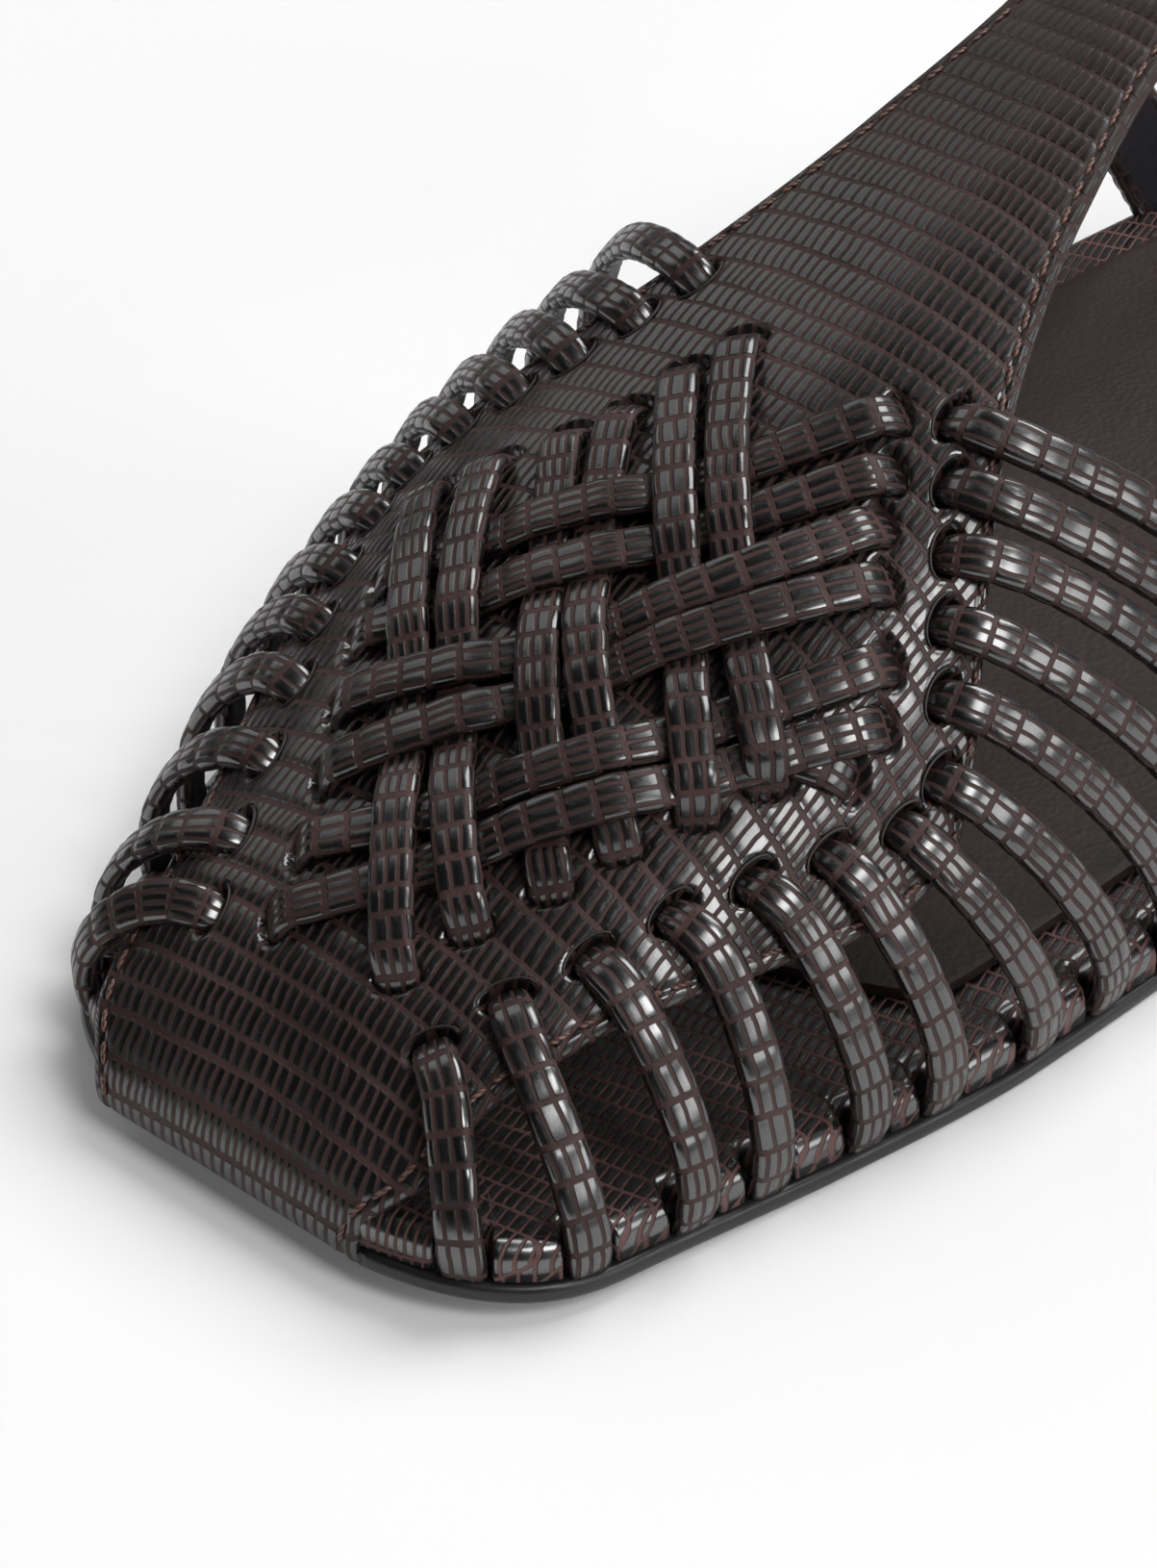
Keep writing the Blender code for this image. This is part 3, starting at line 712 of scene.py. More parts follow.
# The thread's darker colour is painted shade, laid into the creases between its plies
THREAD_CREASE_SHADE = (0.065, 0.031, 0.024, 1.0)
THREAD_LIGHT = (0.190, 0.095, 0.072, 1.0)
THREAD_TURNS = 3.0
THREAD_PLIES = 2.0
THREAD_ROUGH = 0.35
THREAD_DEPTH = 0.10


def twisted_thread(name):
    """Copper brown thread, its plies slanting across each stitch, with painted shade darkening the creases
    between them.
    """
    made, tree, shader = new_material(name)
    chart = add_node(tree, "ShaderNodeUVMap", uv_map="chart").outputs["UV"]
    parts = add_node(tree, "ShaderNodeSeparateXYZ", {0: chart})
    around = reckon(tree, "MULTIPLY", parts.outputs[0], THREAD_PLIES)
    slant = reckon(tree, "MULTIPLY_ADD", parts.outputs[1], THREAD_TURNS, around)
    ply = reckon(tree, "PINGPONG", slant, 0.5)
    twist = spread(tree, ply, 0.0, 0.5, 0.0, 1.0)
    # The colour darkens into the creases between plies: painted shade
    shade = blended(tree, twist, THREAD_CREASE_SHADE, THREAD_LIGHT)
    tree.links.new(shade, shader.inputs["Base Color"])
    shader.inputs["Roughness"].default_value = THREAD_ROUGH
    add_bump(tree, shader, twist, THREAD_DEPTH / 1000)
    return made


PAPER_DARK = (0.86, 0.86, 0.86, 1.0)
PAPER_LIGHT = (0.88, 0.88, 0.88, 1.0)
WHITE = (1.0, 1.0, 1.0, 1.0)
PAPER_CLOUD_SCALE = 3.0
PAPER_ROUGH = 0.9
PAPER_SPECULAR = 0.1
# The floor's glow is painted light: weak near the shoe, where it lifts the cast shadows, strong far away
FLOOR_GLOW = 0.09
FAR_GLOW = 0.86
GLOW_NEAR = 0.45
GLOW_FAR = 4.6


def studio_floor(name):
    """Pale paper, a shade uneven, that glows as painted light: a little near the shoe to lift the shadows
    on it, and more far from the lamps to keep it as pale.
    """
    made, tree, shader = new_material(name)
    place = object_place(tree)
    cloud = noise(tree, place, PAPER_CLOUD_SCALE, 2.0).outputs["Fac"]
    shade = blended(tree, cloud, PAPER_DARK, PAPER_LIGHT)
    tree.links.new(shade, shader.inputs["Base Color"])
    shader.inputs["Emission Color"].default_value = WHITE
    away = add_node(tree, "ShaderNodeVectorMath", {0: place}, operation="LENGTH").outputs["Value"]
    glow = spread(tree, away, GLOW_NEAR, GLOW_FAR, FLOOR_GLOW, FAR_GLOW, "LINEAR")
    tree.links.new(glow, shader.inputs["Emission Strength"])
    shader.inputs["Roughness"].default_value = PAPER_ROUGH
    shader.inputs["Specular IOR Level"].default_value = PAPER_SPECULAR
    return made


PANEL_ROW = 3.0
T_BAR_ROW = 2.3
STRAP_ROW = 2.7
WEAVE_ROW = 2.6
INSOLE_ROW = 2.3
ANKLE_ROW = 2.6
PANEL_PRINT = Emboss(PANEL_ROW, 1.0, 0.35, 0.46, 0.33, 0.16, 0.30)
STRAP_PRINT = Emboss(STRAP_ROW, 1.12, 0.40, 0.44, 0.32, 0.16, 0.20)
WEAVE_PRINT = Emboss(WEAVE_ROW, 1.05, 0.45, 0.52, 0.37, 0.16, 0.22)
INSOLE_PRINT = Emboss(INSOLE_ROW, 0.92, 0.30, 0.36, 0.24, 0.20, 0.22)
ANKLE_PRINT = Emboss(ANKLE_ROW, 1.0, 0.30, 0.44, 0.30, 0.13, 0.22)
# Over the T-bar the print grows shallower and its colour lighter: a painted sheen
T_BAR_FADE_AND_SHEEN = Fade(72.0, 104.0, 0.3)
panel_leather = lizard_leather("panel_leather", PANEL_PRINT, T_BAR_FADE_AND_SHEEN, gloss=0.92)
strap_leather = lizard_leather("strap_leather", STRAP_PRINT, gloss=1.3)
weave_leather = lizard_leather("weave_leather", WEAVE_PRINT)
# The insole's grooves are lightened by a painted light tone, for the shade that it lies in under the cage
insole_leather = lizard_leather("insole_leather", INSOLE_PRINT, painted_light_tone=2.6, gloss=1.5)
ankle_leather = lizard_leather("ankle_leather", ANKLE_PRINT)
LINING_DARK = (0.0090, 0.0085, 0.0120, 1.0)
LINING_LIGHT = (0.0165, 0.0150, 0.0195, 1.0)
LIP_DARK = (0.014, 0.0088, 0.0085, 1.0)
LIP_LIGHT = (0.023, 0.0150, 0.0140, 1.0)
lip_leather = plain_leather("lip_leather", LIP_DARK, LIP_LIGHT, 0.5, 2600.0, 0.01)
strap_lining = plain_leather("strap_lining", LINING_DARK, LINING_LIGHT, 0.42, 2600.0, 0.03)
SOCK_DARK = (0.0165, 0.0062, 0.0060, 1.0)
SOCK_LIGHT = (0.0255, 0.0108, 0.0104, 1.0)
sock_leather = plain_leather("sock_leather", SOCK_DARK, SOCK_LIGHT, 0.52, 1500.0, 0.04, 0.38)
sole_rubber = buffed_rubber("sole_rubber")
thread = twisted_thread("thread")
pale_floor = studio_floor("pale_floor")


# Straps

Section = namedtuple("Section", "half_width half_thick wide_power thick_power")
LOOP_SECTION = Section(STRAP_WIDTH / 2, STRAP_THICK / 2, 4.8, 2.6)
WEAVE_SECTION = Section(STRAP_WIDTH / 2, WEAVE_THICK / 2, 6.0, 2.6)
ANKLE_SECTION = Section(ANKLE_WIDTH / 2, ANKLE_THICK / 2, 6.0, 2.4)
SLING_SECTION = Section(SLING_WIDTH / 2, SLING_THICK / 2, 6.0, 2.4)
FOLD_HOLE = Section(ANKLE_WIDTH / 2 + CLEARANCE, ANKLE_THICK / 2 + CLEARANCE, 8.0, 5.0)
FOLD_OUTSIDE = Section(FOLD_HOLE.half_width + FOLD_WALL, FOLD_HOLE.half_thick + FOLD_WALL, 6.0, 4.0)
SECTION_SAMPLES = 721
LINED_FROM = 0.68
BAND_PINCH = 0.07
BAND_WIDTH = 0.5
STRAP_END = Rounding(3.2, 2.0)
LOOP_NARROWED = (0.5, 0.0)
STRIP_NARROWED = (0.4, 0.4)
NOT_NARROWED = (0.0, 0.0)
STRAP_AROUND = 24
STRAP_ROW_VARY = 0.35
SEED_ALONG = 7.3
SEED_ROWS = 40


def section_points(section, count):
    """Even points around a strap's section, from the middle of its back round its face, and their girth."""
    angle = np.linspace(-math.pi, math.pi, SECTION_SAMPLES)
    sine, cosine = np.sin(angle), np.cos(angle)
    wide = section.half_width * np.sign(sine) * np.abs(sine) ** (2 / section.wide_power)
    thick = section.half_thick * np.sign(cosine) * np.abs(cosine) ** (2 / section.thick_power)
    outline = np.stack([wide, thick, np.zeros_like(wide)], axis=-1)
    girth = travelled(outline)
    places = np.linspace(0.0, girth[-1], count + 1)
    points = sampled(outline, girth, places)
    points[-1] = points[0]
    return points[:, :2], places - girth[-1] / 2


def strap_frames(path, sides):
    """The directions of a strap's width and of its face along its path."""
    along = unit(np.gradient(path, axis=0))
    wide = unit(sides - along * dot(sides, along))
    return wide, np.cross(along, wide)


def strap(
    name, path, sides, section, materials, row, seed, steps, around=STRAP_AROUND, narrowed=NOT_NARROWED
):
    """A strap along a path, embossed on its face, lined on its back and narrowed towards its ends."""
    distance = travelled(path)
    places = np.linspace(0.0, distance[-1], steps + 1)
    middle = sampled(path, distance, places)
    wide, face = strap_frames(middle, sampled(sides, distance, places))
    outline, girth = section_points(section, around)
    count = row_count(places, row_lines(distance[-1], row, row, STRAP_ROW_VARY, seed))
    pinch = 1 - BAND_PINCH * row_groove(count, row, BAND_WIDTH)
    narrow = 1 - narrowed[0] * (1 - rounded(places, STRAP_END))
    narrow = narrow - narrowed[1] * (1 - rounded(distance[-1] - places, STRAP_END))
    across = outline[None, :, 0:1] * wide[:, None] * (narrow * (1 + pinch) / 2)[:, None, None]
    over = outline[None, :, 1:2] * face[:, None] * pinch[:, None, None]
    points = middle[:, None] + across + over
    shape = points.shape[:2]
    chart = np.stack([
        np.broadcast_to(girth[None, :] + seed * SEED_ALONG, shape),
        np.broadcast_to(count[:, None] + seed * SEED_ROWS, shape),
    ], axis=-1)
    sleeve = add_sheet(name, points, chart)
    for material in materials:
        sleeve.data.materials.append(material)
    reach = np.abs(girth[:-1] + girth[1:]) / 2 / girth[-1]
    paint_columns(sleeve, around, reach > LINED_FROM)
    return close_up(sleeve)


def loop_line(side, run):
    """A loop's slit, the ways out of the panel and along the strap there, and the loop's foot."""
    back = np.float64(run.slit_back)
    across = crest_across(back) + side * run.slit_out
    slit = form_point(across, back)
    normal = form_normal(across, back)
    foot_back = np.float64(run.foot)
    foot = inset_edge(side, foot_back, UPPER_INSET + STRAP_THICK / 2)
    foot = foot + UP * (sole_top(foot_back) + CLEARANCE)
    begin = (foot - slit) * np.array((1.0, run.lead, 0.0))
    along = unit(begin - normal * dot(begin, normal))
    return slit, normal, along, foot


def make_loop(side, run, seed):
    """A side loop: up out of its slit, over the panel's edge and down to the sole."""
    slit, normal, along, foot = loop_line(side, run)
    sole_out = edge_normal(side, np.float64(run.foot))
    root = slit - normal * LOOP_ROOT_DEPTH
    lip = slit + along * LOOP_LIP + normal * (STRAP_THICK / 2 - LOOP_SINK)
    start = unit(along + normal * run.arch)
    reach = np.hypot(*(foot - slit)[:2])
    lip_pull = lip + start * reach * LOOP_PULL[side]
    foot_pull = foot + UP * (slit[2] - foot[2]) * LOOP_FOOT_PULL[side] + sole_out * run.bulge
    root_pull = root + normal * LOOP_DIVE + along * LOOP_DIVE_AHEAD
    dive = bezier(root, root_pull, lip - start * LOOP_DIVE_END, lip, LOOP_DIVE_POINTS)
    path = np.concatenate([dive[:-1], bezier(lip, lip_pull, foot_pull, foot, LOOP_POINTS)])
    share = travelled(path)
    share = share[:, None] / share[-1]
    turned_out = ease(0.0, LOOP_TURNED[side], share)
    faces = normal * (1 - turned_out) + sole_out * turned_out
    out_of_slit = ease(LOOP_TWIST_START, LOOP_TWIST_END, share)
    sides = unit(np.cross(faces, np.gradient(path, axis=0))) * out_of_slit
    sides = sides + np.cross(normal, along) * (1 - out_of_slit)
    materials = (strap_leather, strap_lining)
    return strap(
        "loop", path, sides, LOOP_SECTION, materials, STRAP_ROW, seed, LOOP_STEPS, narrowed=LOOP_NARROWED
    )


def strip_line(side, strip):
    """A woven strip's line in plan from the crest, bowed towards the toe."""
    front = np.array((side * strip.front_out, strip.front_back))
    rear = np.array((-side * strip.rear_out, strip.rear_back))
    share = np.linspace(0.0, 1.0, STRIP_POINTS)[:, None]
    run = rear - front
    aside = unit(np.array((-run[1], run[0]))) * side
    return front + run * share + aside * (4 * strip.bow * share * (1 - share))


def weave_crossings(side, index):
    """Where a strip meets those of the other set: its share along the strip, and its top's height there."""
    line = strip_line(side, STRIPS[side][index])
    found = [(0.0, WEAVE_END), (1.0, WEAVE_END)]
    for number, other in enumerate(STRIPS[-side]):
        apart = np.linalg.norm(line[:, None] - strip_line(-side, other), axis=-1)
        share = np.argmin(apart.min(axis=1)) / (STRIP_POINTS - 1)
        inner_over = (index // 2 + number // 2) % 2 == 0
        over = inner_over if side == INNER else not inner_over
        found.append((share, WEAVE_OVER if over else WEAVE_UNDER))
    return sorted(found)


def weave_height(share, crossings, length):
    """The height of a strip's top over the panel: over or under at each crossing, and sunk at both ends."""
    height = np.full_like(share, crossings[0][1])
    for (place, top), (next_place, next_top) in zip(crossings, crossings[1:]):
        height = height + (next_top - top) * ease(place, next_place, share)
    tuck = np.clip(np.minimum(share, 1 - share) * length / WEAVE_TUCK, 0.0, 1.0)
    tuck = np.sin(tuck * math.pi / 2)
    return height * tuck - WEAVE_SINK * (1 - tuck)


def woven_strip(plan, crossings, seed):
    """A strip of the weave, from one slit to the other over and under those that it crosses."""
    share = np.linspace(0.0, 1.0, STRIP_POINTS)
    across = plan[:, 0] + crest_across(plan[:, 1])
    normal = form_normal(across, plan[:, 1])
    length = np.linalg.norm(np.diff(plan, axis=0), axis=-1).sum()
    height = weave_height(share, crossings, length) - WEAVE_THICK / 2
    path = form_point(across, plan[:, 1]) + normal * height[:, None]
    sides = np.cross(normal, np.gradient(path, axis=0))
    steps = int(length * STRIP_FINENESS)
    materials = (weave_leather, strap_lining)
    return strap(
        "strip", path, sides, WEAVE_SECTION, materials, WEAVE_ROW, seed, steps, narrowed=STRIP_NARROWED
    )


# The vamp panel and T-bar

PANEL_STEPS = 396
PANEL_SAMPLES = 1200
PANEL_ROW_VARY = 0.45
PANEL_SEED = 4
FIRST_ROW = 3.0
ROW_WAVE = 0.16
WAVE_SEED = 9
WAVES = (0.09, 0.16, 0.27, 0.41)
PANEL_FRONT = 0.2
PANEL_FRONT_SLANT = 0.055
PANEL_WRAP = 2.4
PANEL_WRAP_ROWS = 1.0
PANEL_WRAP_TURN = 0.7
FACE_COLUMNS = 182
RIM_COLUMNS = 8
LINING_COLUMNS = 28
EDGE_CROWD = 1.25
STITCH_INSET = 1.45
CHANNEL_DEPTH = 0.14
CHANNEL_WIDTH = 0.4
ROW_DEPTH = 0.09
ROW_WIDTH = 0.45
PLAIN_EDGE = 0.9
RELIEF_FROM = 1.5
Slit = namedtuple("Slit", "middle along normal depth")
LOOP_SLIT_AHEAD = 0.15
STRIP_SLIT_AHEAD = 0.9
STRIP_SLIT_SIGHT = 20
SLIT_REACH = 6.0
SLIT_FLOOR = 0.7
SLIT_RIM = 1.15
SLIT_HALF_LONG = 2.2
SLIT_HALF_WIDE = 1.2
LOOP_SLIT_DEPTH = 1.4
STRIP_SLIT_DEPTH = 0.8
LIP_RADIUS = 0.12
LIP_RING = 1.12
LIP_TURN = math.radians(80)
LIP_LEAST = 0.01
LIP_POINTS = 25
LIP_AROUND = 8


def panel_half(column, back):
    """Half the panel's width, on the side that a column lies on."""
    return np.where(column >= 0, smooth(PANEL, "inner", back), smooth(PANEL, "outer", back))


def panel_base(row, column):
    """The panel's outer face: it wraps the sole's front edge up to row 0, climbs the toe and runs back."""
    climb = np.clip(row / PANEL_TOE_ROWS, 0.0, 1.0)
    toe_share = 1 - np.cos(climb * math.pi / 2)
    level = TOE_WALL.depth * toe_share
    across = crest_across(level) + column * panel_half(column, level)
    front = PANEL_FRONT + PANEL_FRONT_SLANT * across
    back = front + (TOE_WALL.depth - front) * toe_share
    form_front = toe_line(across)
    up = form_up(across, form_front + (TOE_WALL.depth - form_front) * toe_share)
    wrap = np.clip(-row / PANEL_WRAP_ROWS, 0.0, 1.0)
    up = np.maximum(up, sole_top(back) + CLEARANCE) - PANEL_WRAP * wrap
    toe = np.stack([across, back + PANEL_WRAP_TURN * wrap ** 3, up], axis=-1)
    share = np.clip((row - PANEL_TOE_ROWS) / (PANEL_ROWS - PANEL_TOE_ROWS), 0.0, 1.0)
    back = TOE_WALL.depth + (PANEL_END - TOE_WALL.depth) * share
    rest = form_point(crest_across(back) + column * panel_half(column, back), back)
    return np.where((row < PANEL_TOE_ROWS)[..., None], toe, rest)


def panel_normal(row, column):
    """The unit vector out of the panel's face."""
    row_step = 0.06
    column_step = 0.01
    after = panel_base(np.minimum(row + row_step, PANEL_ROWS), column)
    before = panel_base(np.maximum(row - row_step, -PANEL_WRAP_ROWS), column)
    sideways = panel_base(row, column + column_step) - panel_base(row, column - column_step)
    return unit(np.cross(sideways, after - before))


def panel_rows(count):
    """Rows of the panel an even distance apart along its crest, and those distances."""
    rows = np.linspace(-PANEL_WRAP_ROWS, PANEL_ROWS, PANEL_SAMPLES)
    distance = travelled(panel_base(rows, np.zeros_like(rows)))
    places = np.linspace(0.0, distance[-1], count + 1)
    return np.interp(places, distance, rows), places


def edge_stretch(rows, side):
    """Millimetres along a row for one unit of column, at the panel's edge."""
    step = 0.03
    edge = panel_base(rows, np.full_like(rows, side))
    inside = panel_base(rows, np.full_like(rows, side * (1 - step)))
    return np.linalg.norm(edge - inside, axis=-1) / step


def loop_slits():
    """The slits that the loops come out of."""
    slits = []
    for side in SIDE_NAMES:
        for run in LOOPS[side]:
            slit, normal, along, _ = loop_line(side, run)
            slits.append(Slit(slit + along * LOOP_SLIT_AHEAD, along, normal, LOOP_SLIT_DEPTH))
    return slits


def strip_slits():
    """The slits that the ends of the woven strips go into."""
    lines = [strip_line(side, strip) for side in SIDE_NAMES for strip in STRIPS[side]]
    slits = [strip_slit(line[0], line[STRIP_SLIT_SIGHT]) for line in lines]
    lines.append(strip_line(OUTER, SHORT_STRIP))
    return slits + [strip_slit(line[-1], line[-1 - STRIP_SLIT_SIGHT]) for line in lines]


def strip_slit(end, onward):
    """The slit at one end of a woven strip that runs onward from there."""
    run = unit(onward - end)
    plan = end + run * STRIP_SLIT_AHEAD
    across = plan[0] + crest_across(plan[1])
    normal = form_normal(across, plan[1])
    along = np.append(run, 0.0)
    along = unit(along - normal * dot(along, normal))
    return Slit(form_point(across, plan[1]), along, normal, STRIP_SLIT_DEPTH)


def slit_relief(points):
    """How far the slits lower the panel's face."""
    pocket = np.zeros(points.shape[:-1])
    for slit in loop_slits() + strip_slits():
        offset = points - slit.middle
        near = np.abs(offset).max(axis=-1) < SLIT_REACH
        offset = offset[near]
        ahead = offset @ slit.along
        beside = offset @ np.cross(slit.normal, slit.along)
        ring = np.hypot(ahead / SLIT_HALF_WIDE, beside / SLIT_HALF_LONG)
        pocket[near] = np.maximum(pocket[near], slit.depth * (1 - ease(SLIT_FLOOR, SLIT_RIM, ring)))
    return -pocket


def make_lips():
    """The thin turned rims behind the loops' slits, joined."""
    share = np.linspace(-1.0, 1.0, LIP_POINTS)
    turn = math.pi + share * LIP_TURN
    angle = np.linspace(-math.pi, math.pi, LIP_AROUND + 1)[None, :, None]
    thick = LIP_RADIUS * np.sqrt(np.maximum(0.0, 1 - share ** 4)) + LIP_LEAST
    lips = []
    for slit in loop_slits():
        ahead = slit.along * SLIT_HALF_WIDE * LIP_RING
        aside = np.cross(slit.normal, slit.along) * SLIT_HALF_LONG * LIP_RING
        line = slit.middle + np.cos(turn)[:, None] * ahead + np.sin(turn)[:, None] * aside
        line = form_point(line[:, 0], line[:, 1])
        out = unit(np.cross(slit.normal, np.gradient(line, axis=0)))
        ring = np.cos(angle) * slit.normal + np.sin(angle) * out[:, None]
        points = line[:, None] + ring * thick[:, None, None]
        lip = add_sheet("lip", points, points[..., :2])
        lip.data.materials.append(lip_leather)
        lips.append(close_up(lip))
    return join_pieces("slit_lips", lips)


def sway_lines(x, y, seed):
    """A gentle waviness over the panel, between about -1 and 1."""
    chance = np.random.default_rng(seed)
    total = np.zeros_like(x)
    for wave in WAVES:
        turn = chance.random() * math.tau
        shift = chance.random() * math.tau
        total = total + np.sin((x * math.cos(turn) + y * math.sin(turn)) * wave + shift) / len(WAVES)
    return total


def make_panel():
    """The vamp panel and T-bar: an embossed face with slits, a rolled edge and a lining."""
    rows, distance = panel_rows(PANEL_STEPS)
    stretch = {side: edge_stretch(rows, side)[:, None] for side in SIDE_NAMES}
    radius = PANEL_WALL / 2
    face = np.linspace(-1.0, 1.0, FACE_COLUMNS + 1)
    face = np.sign(face) * (1 - (1 - np.abs(face)) ** EDGE_CROWD)
    reach = np.where(face > 0, 1 - radius / stretch[INNER], 1 - radius / stretch[OUTER])
    turn = np.linspace(0.0, math.pi, RIM_COLUMNS + 1)[1:-1]
    inner_rim = 1 - (radius - radius * np.sin(turn)) / stretch[INNER]
    lining = np.linspace(1.0, -1.0, LINING_COLUMNS + 1)
    lining_reach = np.where(lining > 0, 1 - radius / stretch[INNER], 1 - radius / stretch[OUTER])
    outer_rim = -(1 - (radius - radius * np.sin(turn)) / stretch[OUTER])
    first = face[:1] * reach[:, :1]
    column = np.concatenate([face * reach, inner_rim, lining * lining_reach, outer_rim, first], axis=1)
    rim_depth = radius - radius * np.cos(turn)
    depth = np.concatenate([
        np.zeros(FACE_COLUMNS + 1),
        rim_depth,
        np.full(LINING_COLUMNS + 1, PANEL_WALL),
        rim_depth[::-1],
        [0.0],
    ])
    row = np.broadcast_to(rows[:, None], column.shape)
    points = panel_base(row, column)
    normal = panel_normal(row, column)
    girth = np.cumsum(np.linalg.norm(np.diff(points, axis=1, prepend=points[:, :1]), axis=-1), axis=1)
    girth = girth - girth[:, FACE_COLUMNS // 2, None]
    lines = row_lines(distance[-1], PANEL_ROW, T_BAR_ROW, PANEL_ROW_VARY, PANEL_SEED)
    count = row_count(distance, lines)[:, None]
    count = count + ROW_WAVE * sway_lines(points[..., 0], points[..., 1], WAVE_SEED)
    on_face = depth[None] == 0
    from_edge = (1 - np.abs(column)) * np.where(column > 0, stretch[INNER], stretch[OUTER])
    channel = CHANNEL_DEPTH * np.exp(-((from_edge - STITCH_INSET) / CHANNEL_WIDTH) ** 2)
    relief = slit_relief(points) - ROW_DEPTH * row_groove(count, PANEL_ROW, ROW_WIDTH) - channel
    keep = on_face * ease(PLAIN_EDGE, RELIEF_FROM, from_edge)
    points = points + normal * (relief * keep - depth)[..., None]
    panel = add_sheet("vamp_panel", points, np.stack([girth, count + FIRST_ROW], axis=-1))
    panel.data.materials.append(panel_leather)
    panel.data.materials.append(strap_lining)
    columns = column.shape[1] - 1
    lined = np.arange(columns) > FACE_COLUMNS + RIM_COLUMNS // 2
    lined &= np.arange(columns) < columns - RIM_COLUMNS // 2
    paint_columns(panel, columns, lined)
    return close_up(panel)


# Ankle strap and the T-bar's folded end

def ankle_path(turn):
    """The strap's middle line over the foot, from the inner foot (turn 0) to the outer one (turn 1)."""
    angle = math.pi * turn
    rise = np.maximum(np.sin(angle), 0.0) ** ANKLE_POWER
    reach = np.abs(np.cos(angle)) ** ANKLE_POWER
    middle = crest_across(ANKLE_TOP_BACK)
    forward = (ANKLE_TOP_BACK - ANKLE_FOOT_BACK) * rise
    edge_back = ANKLE_FOOT_BACK + forward * (1 - rise) ** 2
    inset = UPPER_INSET + ANKLE_THICK / 2
    inner, outer = (inset_edge(side, edge_back, inset)[:, 0] for side in (INNER, OUTER))
    edge = np.where(turn <= 0.5, inner, outer)
    foot_up = sole_top(ANKLE_FOOT_BACK) + CLEARANCE
    return np.stack([
        middle + (edge - middle) * reach,
        ANKLE_FOOT_BACK + forward,
        foot_up + (ANKLE_TOP_UP - foot_up) * rise,
    ], axis=-1)


def ankle_sides(turn):
    """The way of the strap's width: square to its slanting plane, along the sole's edge at its feet."""
    foot, top = ankle_path(np.array((0.0, 0.5)))
    rise = top - foot
    wide = unit(np.array((0.0, -rise[2], rise[1])))
    foot_back = np.float64(ANKLE_FOOT_BACK)
    inner, outer = edge_normal(INNER, foot_back), edge_normal(OUTER, foot_back)
    lean = np.where(turn <= 0.5, -inner[1] / inner[0], -outer[1] / outer[0]) * wide[1]
    sideways = lean * np.abs(np.cos(math.pi * turn)) ** ANKLE_LEAN_POWER
    return wide + sideways[:, None] * np.array((1.0, 0.0, 0.0))


def sling_path(turn):
    """The run around the heel, from the strap's inner side to its outer side."""
    leave = math.asin(SLING_LEVEL ** (1 / ANKLE_POWER)) / math.pi
    start, end = ankle_path(np.array((leave, 1 - leave)))
    angle = math.pi * turn
    reach = np.sign(np.cos(angle)) * np.abs(np.cos(angle)) ** SLING_POWER
    round_heel = np.maximum(np.sin(angle), 0.0) ** SLING_POWER
    middle = (start + end) / 2
    heel = np.array((middle[0], SLING_HEEL_BACK, SLING_HEEL_UP))
    return middle + (start - end) / 2 * reach[:, None] + (heel - middle) * round_heel[:, None]


def make_ankle_strap():
    """The strap over the foot, with the run around the heel joined on."""
    turn = np.linspace(0.0, 1.0, ANKLE_POINTS)
    materials = (ankle_leather, strap_lining)
    path = ankle_path(turn)
    sides = ankle_sides(turn)
    over = strap(
        "over", path, sides, ANKLE_SECTION, materials, ANKLE_ROW, ANKLE_SEED, ANKLE_STEPS, ANKLE_AROUND
    )
    level = (sole_top(ANKLE_FOOT_BACK) + CLEARANCE) / 1000
    for vertex in over.data.vertices:
        vertex.co.z = max(vertex.co.z, level)
    around = sling_path(turn)
    upright = np.broadcast_to(UP, around.shape)
    sling = strap(
        "sling", around, upright, SLING_SECTION, materials, ANKLE_ROW, SLING_SEED, SLING_STEPS, ANKLE_AROUND
    )
    return join_pieces("ankle_strap_and_sling", [over, sling])


def make_fold():
    """The T-bar's end, folded around the ankle strap and sewn down."""
    path = ankle_path(np.linspace(FOLD_FROM, FOLD_TO, FOLD_POINTS))
    top = np.array((0.5,))
    path = path[np.abs(path[:, 0] - ankle_path(top)[0, 0]) <= FOLD_HALF]
    sides = np.broadcast_to(ankle_sides(top)[0], path.shape)
    wide, face = strap_frames(path, sides)
    rings = []
    for section, way in ((FOLD_HOLE, 1), (FOLD_OUTSIDE, -1)):
        outline, girth = section_points(section, FOLD_AROUND)
        across = outline[None, :, 0:1] * wide[::way, None]
        over = outline[None, :, 1:2] * face[::way, None]
        rings.append(path[::way, None] + across + over)
    points = np.concatenate(rings + [rings[0][:1]])
    run_length = np.concatenate([path[:, 0], path[::-1, 0], path[:1, 0]])
    shape = points.shape[:2]
    chart = np.stack([
        np.broadcast_to(run_length[:, None], shape),
        np.broadcast_to(girth[None] / ANKLE_ROW, shape),
    ], axis=-1)
    fold = add_sheet("t_bar_fold", points, chart)
    fold.data.materials.append(panel_leather)
    return close_up(fold)


# Sole, insole and sock

END_CROWD = 0.85
END_COLUMNS = 24

